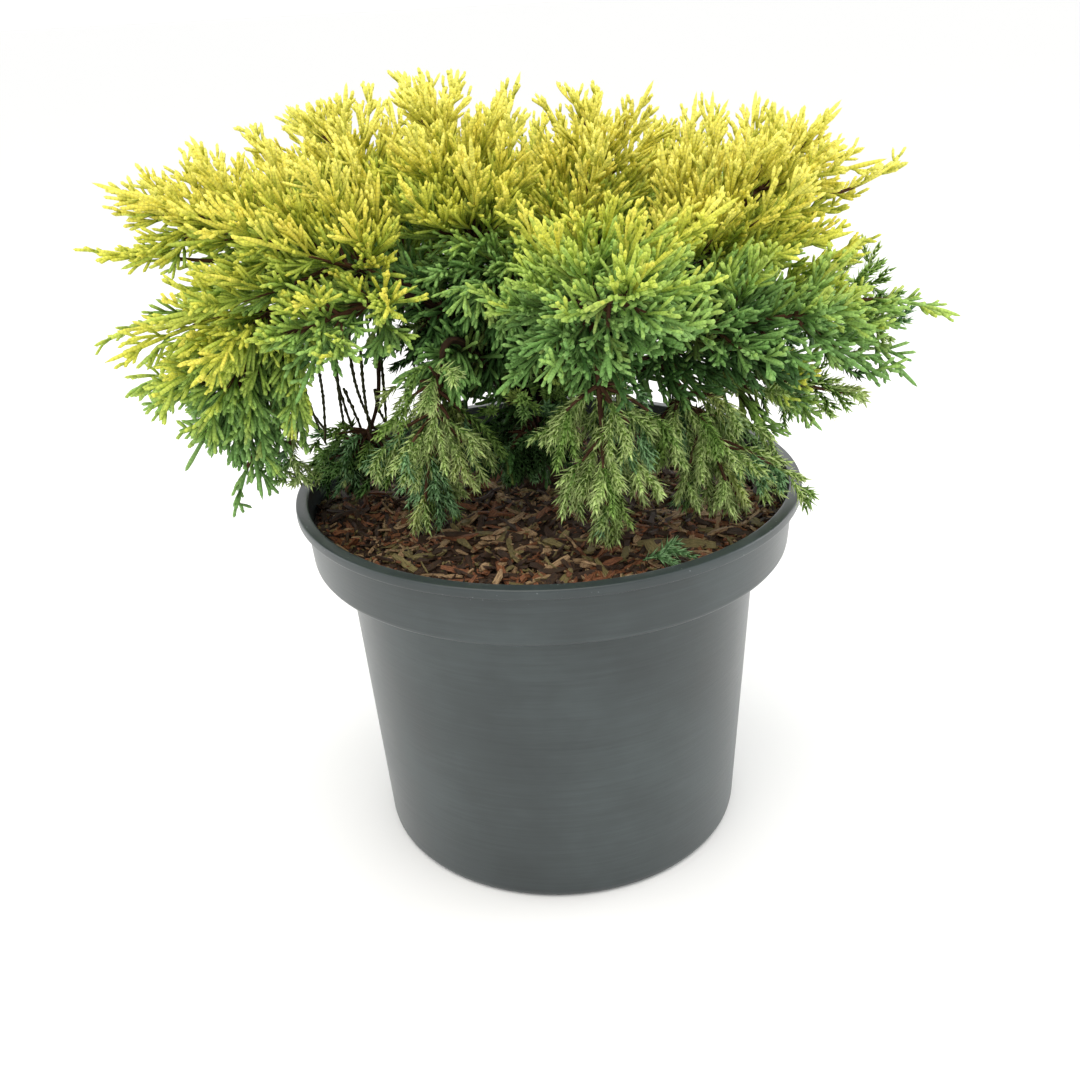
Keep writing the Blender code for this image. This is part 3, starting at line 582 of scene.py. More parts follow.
def growPlant():
    # Stems and twigs, then sprays on them and on the limbs, then cords on the sprays. A share of the twigs
    # is young: their sprays are foxtails, further apart, that bear needles
    rng = np.random.default_rng(7)
    stems, twigs, owner = [], [], []
    for index in range(len(names)):
        stem, some = mainTwigs(index)
        stems.append(stem)
        twigs += some
        owner += [index] * len(some)
    stems, twigs, owner = np.array(stems), np.array(twigs), np.array(owner)
    bearers = np.concatenate([twigs, stems])
    bearerOwner = np.concatenate([owner, np.arange(len(names))])
    young = rng.random(len(bearers)) < youth[bearerOwner]
    reference = unit(rng.normal(size=(len(bearers), 3)))
    sets = [sideShoots(bearers[pick], bearerOwner[pick], reference[pick], rule, rng)
            for rule, pick in ((sprayRule, ~young), (tailRule, young))]
    # the curve through each limb's two ends and its middle
    whole = np.array([bezier(plan[name][2], np.array([0.0, 0.5, 1.0])) for name in leafyLimbs])
    whole[:, 1] = 2 * whole[:, 1] - (whole[:, 0] + whole[:, 2]) / 2
    limbOwner = np.array([names.index(name) for name in leafyLimbs])
    sets.append(sideShoots(whole, limbOwner, unit(rng.normal(size=(len(whole), 3))), limbRule, rng))
    lone = np.array([row[1:4] for row in loneSprays])
    loneOwner = np.array([names.index(row[0]) for row in loneSprays])
    loneYoung = np.array([row[4] for row in loneSprays]) == 1
    upright = np.tile((0.0, 0.0, 1.0), (len(lone), 1))
    sets += [sideShoots(lone[pick], loneOwner[pick], upright[pick], loneRule, rng)
             for pick in (~loneYoung, loneYoung)]
    sizes = [len(group[0]) for group in sets]
    kind = np.repeat([corded, foxtail, limbBorne, corded, foxtail], sizes)
    beyond = np.repeat([0.0, 0.0, 0.0, freely, freely], sizes)
    sprays = joined(sets) + [kind]
    young = np.append(young[:len(twigs)], loneYoung)
    twigs, owner = np.concatenate([twigs, lone]), np.append(owner, loneOwner)
    cordSets = []
    for rule, pick in ((cordRule, kind != foxtail), (tailCordRule, kind == foxtail)):
        found = sideShoots(sprays[0][pick], sprays[1][pick], sprays[4][pick], rule, rng, beyond[pick])
        cordSets.append(found[:2] + (np.flatnonzero(pick)[found[2]],) + found[3:])
    return stems, twigs, owner, young, sprays, joined(cordSets)


stems, twigs, twigOwner, twigYoung, sprays, cords = growPlant()
print(f"{len(twigs)} twigs, {len(sprays[0])} sprays, {len(cords[0])} cords")


def shootParts(curves, radii, shares, widths, sides, tag):
    # Closed shoots round many curves at once. Ring j lies at share j of its curve, square to it, with the
    # shoot's radius times width j; each ring is turned on by half a side, which knits the corners together
    # like overlapping scales. A cap closes the foot and a point the tip. Growth is (share of the shoot's
    # length, way along in mm, its spray's tag).
    count, ringCount = len(curves), len(shares)
    spread = np.broadcast_to(shares, (count, ringCount))
    held = curves[:, None]
    middle, ahead = onCurve(held, spread), aheadOn(held, spread)
    across = squareTo(aheadOn(curves, np.full(count, 0.5)))[0][:, None]
    across = unit(across - ahead * (across * ahead).sum(-1, keepdims=True))
    other = np.cross(ahead, across)
    turn = 2 * math.pi * (np.arange(sides)[None] + 0.5 * (np.arange(ringCount)[:, None] % 2)) / sides
    cosine, sine = np.cos(turn)[None, ..., None], np.sin(turn)[None, ..., None]
    spoke = across[:, :, None] * cosine + other[:, :, None] * sine
    rings = middle[:, :, None] + spoke * (radii[:, None] * widths[None])[..., None, None]
    points = np.concatenate([rings.reshape(count, ringCount * sides, 3), curves[:, 2:3]], axis=1)
    length = np.linalg.norm(curves[:, 2] - curves[:, 0], axis=1)
    growth = np.zeros((count, ringCount * sides + 1, 3))
    growth[:, :-1, 0] = np.repeat(shares, sides)
    growth[:, -1, 0] = 1.0
    growth[..., 1] = growth[..., 0] * length[:, None] / millimetre
    growth[..., 2] = tag[:, None]
    low = np.arange(sides)
    high = (low + 1) % sides
    faces = []
    for j in range(ringCount - 1):
        a, b = j * sides, (j + 1) * sides
        if j % 2 == 0:
            faces += [np.stack([a + low, a + high, b + low], 1), np.stack([a + high, b + high, b + low], 1)]
        else:
            faces += [np.stack([a + low, a + high, b + high], 1), np.stack([a + low, b + high, b + low], 1)]
    last = (ringCount - 1) * sides
    faces.append(np.stack([last + low, last + high, np.full(sides, ringCount * sides)], 1))
    offsets = (np.arange(count) * (ringCount * sides + 1))[:, None, None]
    triangles = (np.concatenate(faces)[None] + offsets).reshape(-1, 3)
    caps = low[::-1][None] + offsets[:, 0]
    return points.reshape(-1, 3), [triangles, caps], growth.reshape(-1, 3)


# awl needles: the spread is their angle from the shoot, which closes up, as they shorten, to its tip; the
# rest is the stretch without any, how much they differ, and the shape of the three-cornered foot
needles = {
    "spacing": 0.0016, "length": 0.0056, "width": 0.0015, "spread": math.radians(38), "from": 0.06,
    "step": (0.3, 0.7), "turn": 0.2, "leans": (0.85, 1.15), "lengths": (0.75, 1.1), "closing": 0.45,
    "shorter": 0.35, "clear": 0.0003, "ridge": (0.9, 0.4), "footShare": 0.45, "tipWay": 2.0,
}


def bladeParts(curves, tag, rng):
    # Needles in whorls of three along each curve, each a four-sided point: a small three-cornered foot
    # drawn out to its tip
    span = np.linalg.norm(curves[:, 2] - curves[:, 0], axis=1)
    count = np.maximum(2, np.floor(span / needles["spacing"]).astype(int))
    bearer = np.repeat(np.arange(len(span)), count * 3)
    rank = np.arange(len(bearer)) - np.repeat(np.cumsum(count * 3) - count * 3, count * 3)
    whorl = rank // 3
    step = whorl + rng.uniform(*needles["step"], len(rank))
    place = np.minimum(needles["from"] + (1 - needles["from"]) * step / count[bearer], 1.0)
    held = curves[bearer]
    start, ahead = onCurve(held, place), aheadOn(held, place)
    across, other = squareTo(ahead)
    turn = rank % 3 * 2 * math.pi / 3 + whorl * math.pi / 3 + rng.normal(0, needles["turn"], len(rank))
    out = across * np.cos(turn)[:, None] + other * np.sin(turn)[:, None]
    side = np.cross(ahead, out)
    lean = needles["spread"] * (1 - needles["closing"] * place ** 3)
    lean = lean * rng.uniform(*needles["leans"], len(rank))
    reach = needles["length"] * rng.uniform(*needles["lengths"], len(rank))
    reach = (reach * (1 - needles["shorter"] * place ** 4))[:, None]
    way = ahead * np.cos(lean)[:, None] + out * np.sin(lean)[:, None]
    half = needles["width"] / 2
    foot = start + out * needles["clear"]
    ridge = ahead * half * needles["ridge"][0] + out * half * needles["ridge"][1]
    points = np.stack([foot - side * half, foot + side * half, foot + ridge, foot + way * reach], axis=1)
    triangles = np.array([[0, 1, 3], [1, 2, 3], [2, 0, 3], [1, 0, 2]])
    faces = (triangles[None] + (np.arange(len(rank)) * 4)[:, None, None]).reshape(-1, 3)
    growth = np.zeros((len(rank), 4, 3))
    growth[:, :3, 0] = needles["footShare"]
    growth[:, 3, 0] = 1.0
    growth[:, 3, 1] = needles["tipWay"]
    growth[..., 2] = tag[bearer][:, None]
    return points.reshape(-1, 3), [faces], growth.reshape(-1, 3)


# tints from the gold of the lit tips to the blue-green of the shaded skirts: colour at the foot, colour at
# the tip, slot. They are partly the plant's own colours and partly painted light and shade: the darkest
# tints go to shoots deep inside and low in the crown, and each tint's foot colour is darker than its tip's
tints = {
    "bright_gold": ("#a2ac36", "#fbf274", "foliage_gold"),
    "gold": ("#869c34", "#f4e964", "foliage_gold"),
    "golden_green": ("#6c8b30", "#e4e45c", "foliage_gold"),
    "yellow_lime": ("#587c29", "#cbda5e", "foliage_lime"),
    "lime": ("#456623", "#b2ce62", "foliage_lime"),
    "fresh_green": ("#3c5a1a", "#a0c666", "foliage_lime"),
    "leaf_green": ("#334f19", "#90b866", "foliage_green"),
    "mid_green": ("#2a4216", "#7ca85a", "foliage_green"),
    "shaded_deep_green": ("#15290d", "#466c34", "foliage_green"),
    "blue_green": ("#345a2f", "#9ac88a", "foliage_green"),
    "pale_foxtail": ("#578831", "#d8ee98", "foliage_green"),
}
tintNames = list(tints)
# the tone above which each tint is dealt, down to shaded_deep_green
tintEdges = np.array([0.94, 0.82, 0.71, 0.60, 0.50, 0.41, 0.33, 0.22])
tailBrightest, darkest, blueBand, paleBand = (
    tintNames.index(name) for name in ("fresh_green", "shaded_deep_green", "blue_green", "pale_foxtail"))
# a shoot's finish: its scales' pitch in mm, how much darker their joints are, the size of its mottle, how
# it pales from foot to tip (partly its paler young growth, partly painted shade at the foot and a painted
# highlight at the tip), how much each spray differs, and the dry tan of a few
shootLook = {
    "roughness": 0.58, "specular": 0.22, "scalePitch": 1.5, "scaleDark": 0.20, "mottle": 90.0,
    "paling": (-0.50, 0.95), "own": 0.35, "tan": "#c9a84a", "tanFrom": 0.88, "tanShare": 0.20,
}
foliageLook = {
    "cordRadius": (0.00064, 0.00088), "sprayRadius": (0.00074, 0.00092), "twigRadius": 0.00095,
    "tailRadius": 0.00045,
    # rings along each: share of its length and of its radius
    "cordRings": ((0.0, 0.42, 0.84), (0.66, 0.98, 1.02)),
    "sprayRings": ((0.0, 0.20, 0.42, 0.62, 0.80, 0.94), (0.62, 0.80, 0.88, 1.00, 1.06, 0.86)),
    "tailRings": ((0.0, 0.5, 0.93), (1.0, 0.9, 0.7)),
    # tones: what height, depth and place add, how far shoots differ, how much of its spray's tone a cord
    # has, and how dark the sprays and cords on the limbs stay, which is painted shade for the crown's inside
    "byHeight": 0.34, "byDepth": 0.26, "depthFrom": 0.80, "byPlace": 0.06, "sprayNoise": 0.07,
    "cordNoise": 0.03, "fromSpray": 0.45, "limbPaintedShade": 0.24, "limbShadeMost": 0.27, "limbCordShadeMost": 0.30,
    # foxtails: the share that is blue-green, below this height, and of the rest the share that is pale, in
    # masses above this tone, give or take
    "blueShare": 0.18, "blueBelow": 0.232, "paleShare": 0.82, "paleFrom": 0.46, "paleNoise": 0.10,
    # the green end of each twig: from where, how much of its bow it keeps, and the share that leads on, how
    # far
    "leafFrom": 0.42, "bow": 0.25, "leadShare": 0.45, "lead": (0.004, 0.013),
    # a cut sprig that lies on the mulch, to the right at the front
    "fallen": [[(0.036, -0.080, 0.1640), (0.043, -0.077, 0.1660), (0.052, -0.075, 0.1650)],
               [(0.041, -0.078, 0.1650), (0.044, -0.083, 0.1660), (0.049, -0.086, 0.1645)],
               [(0.043, -0.077, 0.1655), (0.047, -0.071, 0.1670), (0.052, -0.068, 0.1650)],
               [(0.046, -0.076, 0.1660), (0.050, -0.079, 0.1665), (0.056, -0.080, 0.1645)]],
    "fallenTag": 0.7,  # its place between 0 and 1 among the sprays, which tints it
}


def shootFinish(name, shade, lit):
    # Scale-leaf shoot, waxy and slightly glossy: paler to its tip, with darker joints where its scales
    # overlap, which gives the eye the fine knotted look of juniper. Over the real paling of young growth, the
    # shade colour at the foot is partly painted shade and the lit colour at the tip partly a painted
    # highlight
    finish, tree, shader = newFinish(name, {"Roughness": shootLook["roughness"],
                                            "Specular IOR Level": shootLook["specular"]})
    place = addNode(tree, "ShaderNodeTexCoord")
    growth = addNode(tree, "ShaderNodeAttribute", {"attribute_name": "growth"})
    parts = addNode(tree, "ShaderNodeSeparateXYZ", links={0: growth.outputs["Vector"]})
    mottle = addNode(tree, "ShaderNodeTexNoise", {"Scale": shootLook["mottle"], "Detail": 2.0},
                     {"Vector": place.outputs["Object"]})
    foot, gain = shootLook["paling"]
    paler = addNode(tree, "ShaderNodeMath", {"operation": "MULTIPLY_ADD", 1: gain, 2: foot},
                    {0: parts.outputs[0]})
    uneven = addNode(tree, "ShaderNodeMath", {"operation": "ADD"},
                     {0: paler.outputs[0], 1: mottle.outputs["Fac"]})
    own = addNode(tree, "ShaderNodeMath",
                  {"operation": "MULTIPLY_ADD", 1: shootLook["own"], "use_clamp": True},
                  {0: parts.outputs[2], 2: uneven.outputs[0]})
    green = addNode(tree, "ShaderNodeMix", {"data_type": "RGBA", 6: linear(shade), 7: linear(lit)},
                    {0: own.outputs[0]})
    dry = addNode(tree, "ShaderNodeMapRange",
                  {"From Min": shootLook["tanFrom"], "To Max": shootLook["tanShare"]},
                  {"Value": parts.outputs[2]})
    colour = addNode(tree, "ShaderNodeMix", {"data_type": "RGBA", 7: linear(shootLook["tan"])},
                     {0: dry.outputs[0], 6: green.outputs[2]})
    beat = 2 * math.pi / shootLook["scalePitch"]
    wave = addNode(tree, "ShaderNodeMath", {"operation": "MULTIPLY", 1: beat}, {0: parts.outputs[1]})
    ripple = addNode(tree, "ShaderNodeMath", {"operation": "SINE"}, {0: wave.outputs[0]})
    joint = addNode(tree, "ShaderNodeMapRange",
                    {"From Min": -1.0, "From Max": 0.2, "To Min": 1.0 - shootLook["scaleDark"]},
                    {"Value": ripple.outputs[0]})
    jointed = addNode(tree, "ShaderNodeMix", {"data_type": "RGBA", "blend_type": "MULTIPLY", 0: 1.0},
                      {6: colour.outputs[2], 7: joint.outputs[0]})
    tree.links.new(jointed.outputs[2], shader.inputs["Base Color"])
    return finish


def toneOf(points, owner, place, rng, spread):
    # Gold grows with the mass's own tone, the height in it, how far out the shoot's tip lies and how far
    # along its bearer it stands. This is partly the plant's own gold on its outside and partly painted light
    # and shade: high, outer shoots get paler, lit tints, and low, deep ones get dark, shaded tints
    look = foliageLook
    every = depths(points)[np.arange(len(points)), owner]
    height = (points[:, 2] - centres[owner, 2]) / halves[owner, 2]
    return (tones[owner] + look["byHeight"] * height + look["byDepth"] * (every - look["depthFrom"])
            + look["byPlace"] * (place - 0.5) + rng.normal(0, spread, len(points)))


def dressFoliage():
    rng = np.random.default_rng(21)
    look = foliageLook
    sprayCurves, sprayOwner, _, sprayPlace, _, kind = sprays
    cordCurves, cordOwner, cordBearer, cordPlace, _ = cords
    sprayTone = toneOf(sprayCurves[:, 2], sprayOwner, sprayPlace, rng, look["sprayNoise"])
    # sprays and cords on the limbs lie deep in the crown and are held dark as painted shade
    shadedOnLimb = np.minimum(sprayTone - look["limbPaintedShade"], look["limbShadeMost"])
    sprayTone = np.where(kind == limbBorne, shadedOnLimb, sprayTone)
    cordTone = toneOf(cordCurves[:, 2], cordOwner, cordPlace, rng, look["cordNoise"])
    cordTone = look["fromSpray"] * sprayTone[cordBearer] + (1 - look["fromSpray"]) * cordTone
    cordTone = np.where(kind[cordBearer] == limbBorne, np.minimum(cordTone, look["limbCordShadeMost"]), cordTone)
    twigTone = toneOf(twigs[:, 2], twigOwner, np.full(len(twigs), 0.5), rng, look["cordNoise"])
    young = kind == foxtail
    youngCord = young[cordBearer]
    sprayBand, cordBand, twigBand = (np.searchsorted(-tintEdges, -t) for t in (sprayTone, cordTone, twigTone))
    blue = (rng.random(len(sprayCurves)) < look["blueShare"]) & (sprayCurves[:, 0, 2] < look["blueBelow"])
    pale = tones[sprayOwner] + rng.normal(0, look["paleNoise"], len(sprayCurves)) > look["paleFrom"]
    pale &= rng.random(len(sprayCurves)) < look["paleShare"]
    tailBand = np.where(pale, paleBand, np.clip(sprayBand, tailBrightest, darkest))
    tailBand = np.where(blue, blueBand, tailBand)
    sprayBand = np.where(young, tailBand, sprayBand)
    cordBand = np.where(youngCord, tailBand[cordBearer], cordBand)
    # the leafy end of each twig, some led on past its tip where that isn't open air
    foot, tip = onCurve(twigs, np.full(len(twigs), look["leafFrom"])), twigs[:, 2]
    knee = (foot + tip) / 2 + (twigs[:, 1] - (twigs[:, 0] + tip) / 2) * look["bow"]
    lead = rng.uniform(*look["lead"], len(twigs)) * (rng.random(len(twigs)) < look["leadShare"])
    further = tip + unit(tip - knee) * lead[:, None]
    leafy = np.stack([foot, knee, np.where(inOpenAir(further.copy())[:, None], tip, further)], axis=1)
    cordRings, sprayRings, tailRings = (
        [np.array(row) for row in look[key]] for key in ("cordRings", "sprayRings", "tailRings"))
    tag = rng.random(len(sprayCurves))
    fallen = np.array(look["fallen"])
    for band, (name, (shade, lit, slot)) in enumerate(tints.items()):
        ofCords, ofSprays = (cordBand == band) & ~youngCord, (sprayBand == band) & ~young
        ofTwigs = (twigBand == band) & ~twigYoung
        some = cordCurves[ofCords]
        parts = [shootParts(some, rng.uniform(*look["cordRadius"], len(some)), *cordRings, 3,
                            tag[cordBearer[ofCords]])]
        some = sprayCurves[ofSprays]
        parts.append(shootParts(some, rng.uniform(*look["sprayRadius"], len(some)), *sprayRings, 4,
                                tag[ofSprays]))
        some = leafy[ofTwigs]
        parts.append(shootParts(some, np.full(len(some), look["twigRadius"]), *sprayRings, 4,
                                rng.random(len(some))))
        tailCords, tailSprays = (cordBand == band) & youngCord, (sprayBand == band) & young
        tails = np.concatenate([cordCurves[tailCords], sprayCurves[tailSprays]])
        tailTag = np.concatenate([tag[cordBearer[tailCords]], tag[tailSprays]])
        if band == blueBand:
            tails = np.concatenate([tails, fallen])
            tailTag = np.append(tailTag, np.full(len(fallen), look["fallenTag"]))
        if len(tails):
            parts.append(shootParts(tails, np.full(len(tails), look["tailRadius"]), *tailRings, 3, tailTag))
            parts.append(bladeParts(tails, tailTag, rng))
        points, faceSets, growth = joinParts([part for part in parts if len(part[0])])
        finish = shootFinish("juniper_" + name, shade, lit)
        piece = putMesh("shoots_" + name, points, faceSets, finish, growth)
        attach(piece, "root")
        whose = set(cordOwner[ofCords | tailCords]) | set(sprayOwner[ofSprays | tailSprays])
        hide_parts(*["foliage_" + names[k] for k in sorted(whose)])


print("foliage")
dressFoliage()

print("bark")


def fibrousFinish(name, plain, scale, noise, stops, bump):
    # Noise drawn out along the growth attribute, which holds millimetres, colours the fibres and raises
    # them slightly
    finish, tree, shader = newFinish(name, plain)
    growth = addNode(tree, "ShaderNodeAttribute", {"attribute_name": "growth"})
    stretch = addNode(tree, "ShaderNodeMapping", {"Scale": scale}, {"Vector": growth.outputs["Vector"]})
    fibres = addNode(tree, "ShaderNodeTexNoise", {"Scale": 1.0, **noise}, {"Vector": stretch.outputs[0]})
    colour = addNode(tree, "ShaderNodeValToRGB", {"stops": [(at, linear(code)) for at, code in stops]},
                     {"Fac": fibres.outputs["Fac"]})
    tree.links.new(colour.outputs["Color"], shader.inputs["Base Color"])
    relief = addNode(tree, "ShaderNodeBump", bump, {"Height": fibres.outputs["Fac"]})
    tree.links.new(relief.outputs[0], shader.inputs["Normal"])
    return finish


def barkFinish(name, dark, light, pitch):
    # Juniper bark: thin, stringy and red-brown, peeling in strips along the limb, dry and matt. The pitch
    # is a strip's width in mm; a strip is about eight times as long
    return fibrousFinish(name, {"Roughness": 0.88, "Specular IOR Level": 0.25},
                         (1.0 / pitch, 0.12 / pitch, 1.0), {"Detail": 6.0, "Roughness": 0.65},
                         [(0.30, dark), (0.55, light), (0.75, "#5e4230")],
                         {"Strength": 0.7, "Distance": 0.0006})


barkLook = {
    # strands round a limb: how many, over how many mm they wander, how high
    "strands": ((2, 9.0, 0.5), (5, 5.0, 0.6), (9, 3.4, 0.5)), "wander": 1.6, "phases": 6.28,
    "knotPitch": 6, "knotWidth": 0.8, "knotSize": 0.16,
    # steps (for a bough their length), sides and relief of each kind; radii at foot and tip
    "trunk": (60, 44, 0.035), "bough": (0.0016, 12, 0.05), "leastSteps": 16,
    "collar": 0.35, "collarFall": 0.004,  # a bough is thicker where it leaves its bearer
    "stem": (26, 8, 0.05), "stemRadii": (0.0013, 0.0006), "stemFrom": -0.03,
    "twig": (9, 5, 0.05), "twigRadii": (0.00085, 0.00055), "twigTo": 0.62,
    # colours and strip width in mm; the stringy bark of trunk and boughs is darkened well below its own
    # red-brown as painted shade of the crown's inside
    "stringy_bark_painted_shade": ("#17100d", "#3b281b", 1.1), "young_red_bark": ("#261a13", "#583a26", 0.8),
    "dry_twig": ("#1c2014", "#46492e", 0.6),
}


def limbPart(path, radii, sides, seed, relief):
    # A closed tube along a path. Its radius is the limb's own times 1 + strips that wander along it:
    # sines of the angle round it whose phase drifts with the way along, and knots where twigs have been.
    # Growth is (way round in mm, way along in mm, seed).
    rng = np.random.default_rng(seed)
    ahead = unit(np.gradient(path, axis=0))
    across = np.empty_like(path)
    across[0] = squareTo(ahead[0])[0]
    for k in range(1, len(path)):
        across[k] = unit(across[k - 1] - ahead[k] * (across[k - 1] @ ahead[k]))
    other = np.cross(ahead, across)
    way = np.concatenate([[0], np.cumsum(np.linalg.norm(np.diff(path, axis=0), axis=1))]) / millimetre
    turn = 2 * math.pi * np.arange(sides) / sides
    wave = np.zeros((len(path), sides))
    for strands, drift, size in barkLook["strands"]:
        phases = rng.uniform(0, barkLook["phases"], 3)
        wander = barkLook["wander"] * np.sin(way / drift + phases[1])
        wave += size * np.sin(strands * turn[None] + phases[0] + wander[:, None])
    knots = np.zeros_like(way)
    for spot in rng.uniform(0, way[-1], max(2, int(way[-1] / barkLook["knotPitch"]))):
        knots += np.exp(-((way - spot) / barkLook["knotWidth"]) ** 2)
    swell = 1 + relief * wave + barkLook["knotSize"] * np.minimum(knots, 1)[:, None]
    spoke = across[:, None] * np.cos(turn)[None, :, None] + other[:, None] * np.sin(turn)[None, :, None]
    points = (path[:, None] + spoke * (radii[:, None] * swell)[..., None]).reshape(-1, 3)
    grid = np.arange(len(path) * sides).reshape(len(path), sides)
    growth = np.zeros((len(path), sides, 3))
    growth[..., 0] = turn[None] * radii[:, None] / millimetre
    growth[..., 1] = way[:, None]
    growth[..., 2] = seed
    return points, [wrapped(grid), grid[:1, ::-1], grid[-1:]], growth.reshape(-1, 3)


def dressLimbs():
    # the trunk's and boughs' bark, darkened below its own red-brown as painted shade
    bark = barkFinish("stringy_bark_painted_shade", *barkLook["stringy_bark_painted_shade"])
    steps, sides, relief = barkLook["trunk"]
    path = trunkPath(np.linspace(0, 1, steps))
    points, faceSets, growth = limbPart(path, trunkRadii(path), sides, 3, relief)
    # the foot swells into roots, by a cosine of the angle round it that dies away upwards
    out = points - np.array(trunk["foot"])
    fade = np.exp(-(points[:, 2] - path[0, 2]) / trunk["flareHeight"])
    lobes = trunk["rootSize"] * np.cos(trunk["roots"] * np.arctan2(out[:, 1], out[:, 0])) * fade
    points[:, :2] += out[:, :2] * lobes[:, None]
    points[:sides, 2] = path[0, 2]
    piece = putMesh("trunk_bark", points, faceSets, bark, growth)
    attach(piece, "root")
    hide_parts("trunk")
    step, sides, relief = barkLook["bough"]
    parts = []
    for seed, (name, (_, _, radius, tipRadius)) in enumerate(limbs.items()):
        controls = plan[name][2]
        length = np.linalg.norm(controls[3] - controls[0])
        shares = np.linspace(0, 1, max(barkLook["leastSteps"], int(length / step)))
        collar = radius * barkLook["collar"] * np.exp(-shares * length / barkLook["collarFall"])
        radii = radius + (tipRadius - radius) * shares + collar
        parts.append(limbPart(bezier(controls, shares), radii, sides, seed + 10, relief))
    points, faceSets, growth = joinParts(parts)
    piece = putMesh("boughs_bark", points, faceSets, bark, growth)
    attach(piece, "root")
    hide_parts(*["bough_" + name for name in limbs])
    parts = []
    for kind, curves, start, end, first in (("stem", stems, barkLook["stemFrom"], 1, 100),
                                            ("twig", twigs, 0, barkLook["twigTo"], 200)):
        steps, sides, relief = barkLook[kind]
        radii = np.linspace(*barkLook[kind + "Radii"], steps)
        for index, curve in enumerate(curves):
            path = bezier(list(curve), np.linspace(start, end, steps))
            parts.append(limbPart(path, radii, sides, first + index, relief))
    points, faceSets, growth = joinParts(parts)
    woody = barkFinish("young_red_bark", *barkLook["young_red_bark"])
    piece = putMesh("twigs_bark", points, faceSets, woody, growth)
    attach(piece, "root")


dressLimbs()

# bare twigs that hang from under the left mass to the low clump: foot and tip of each
hanging = {
    "radius": (0.00072, 0.00046), "steps": 64, "sides": 6, "relief": 0.03, "bow": 0.005,
    # dried leaf pairs: their beat and how it drifts, each knot's size, share of a beat and set-off
    "knotEvery": 0.0034, "drift": 0.9, "driftOver": 0.008, "apart": 1.7,
    "knotSize": 0.55, "knotWidth": 0.16, "knotAside": 0.0005,
    "paths": [
        ((-0.118, -0.004, 0.236), (-0.098, 0.004, 0.194)), ((-0.108, 0.004, 0.240), (-0.100, 0.010, 0.186)),
        ((-0.098, -0.006, 0.238), (-0.099, 0.002, 0.190)), ((-0.094, 0.006, 0.243), (-0.086, 0.008, 0.188)),
        ((-0.088, -0.002, 0.236), (-0.091, 0.014, 0.184)), ((-0.083, 0.008, 0.240), (-0.075, 0.010, 0.188)),
        ((-0.078, 0.000, 0.232), (-0.078, 0.004, 0.190)), ((-0.070, 0.004, 0.236), (-0.072, 0.010, 0.192)),
        ((-0.104, 0.000, 0.216), (-0.112, 0.004, 0.192)), ((-0.088, 0.004, 0.214), (-0.083, 0.012, 0.190)),
        ((-0.074, 0.002, 0.214), (-0.068, 0.006, 0.194)),
    ],
}


def dressHanging():
    # Each twig is a tube that bows a little, with knots on alternate sides where leaf pairs have dried, at a
    # beat that drifts: way / step + drift * sin(way / stretch + its own phase)
    finish = barkFinish("dry_twig", *barkLook["dry_twig"])
    rng = np.random.default_rng(31)
    parts = []
    for seed, (foot, tip) in enumerate(hanging["paths"]):
        foot, tip = np.array(foot), np.array(tip)
        middle = (foot + tip) / 2 + rng.normal(0, hanging["bow"], 3)
        path = bezier([foot, middle, tip], np.linspace(0, 1, hanging["steps"]))
        way = np.linspace(0, np.linalg.norm(tip - foot), hanging["steps"])
        phase = seed * hanging["apart"]
        beat = way / hanging["knotEvery"] + hanging["drift"] * np.sin(way / hanging["driftOver"] + phase)
        nearest = np.round(beat)
        knots = np.exp(-((beat - nearest) / hanging["knotWidth"]) ** 2) * (nearest > 0)
        radii = np.linspace(*hanging["radius"], hanging["steps"]) * (1 + hanging["knotSize"] * knots)
        aside = knots * np.where(nearest % 2 == 0, 1, -1) * hanging["knotAside"]
        path = path + squareTo(unit(tip - foot))[0] * aside[:, None]
        parts.append(limbPart(path, radii, hanging["sides"], 400 + seed, hanging["relief"]))
    points, faceSets, growth = joinParts(parts)
    piece = putMesh("hanging_bare_twigs", points, faceSets, finish, growth)
    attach(piece, "root")


dressHanging()

print("pot")


def rounded(profile, radii, steps=5):
    # Each corner is replaced by a short curve through points set back from it along both sides
    points = [np.array(profile[0], float)]
    for before, corner, after, radius in zip(profile, profile[1:], profile[2:], radii[1:-1]):
        before, corner, after = (np.array(p, float) for p in (before, corner, after))
        back = min(radius, np.linalg.norm(corner - before) * 0.49)
        onward = min(radius, np.linalg.norm(after - corner) * 0.49)
        ends = [corner + unit(before - corner) * back, corner, corner + unit(after - corner) * onward]
        points += list(bezier(ends, np.linspace(0, 1, steps)))
    points.append(np.array(profile[-1], float))
    return np.array(points)


def turnedPart(profile, sides, wobble=None):
    # A profile of (radius, height) turned about Z; its two ends lie on the axis and close as points
    ring = profile[1:-1]
    turn = 2 * math.pi * np.arange(sides) / sides
    points = np.stack([ring[:, 0:1] * np.cos(turn), ring[:, 0:1] * np.sin(turn),
                       np.broadcast_to(ring[:, 1:2], (len(ring), sides))], -1)
    if wobble is not None:
        points = wobble(points)
    grid = np.arange(len(ring) * sides).reshape(len(ring), sides)
    first, last = len(ring) * sides, len(ring) * sides + 1
    foot = np.stack([np.roll(grid[0], -1), grid[0], np.full(sides, first)], -1)
    top = np.stack([grid[-1], np.roll(grid[-1], -1), np.full(sides, last)], -1)
    ends = np.array([(0, 0, profile[0][1]), (0, 0, profile[-1][1])], float)
    return np.concatenate([points.reshape(-1, 3), ends]), [wrapped(grid), foot, top]


# slate colours by how cloudy and rubbed the plastic is; nicks show above a level, which the lip, between two
# heights, comes nearer to
potLook = {
    "slate": [(0.45, "#262d2e"), (0.72, "#31393a"), (0.95, "#3d4647")], "rubbed": 0.45,
    "roughness": (0.26, 0.40),
    "nickColour": "#8b9393", "nicks": (0.88, 0.96), "lip": (0.150, 0.169), "nearLip": 0.14,
}


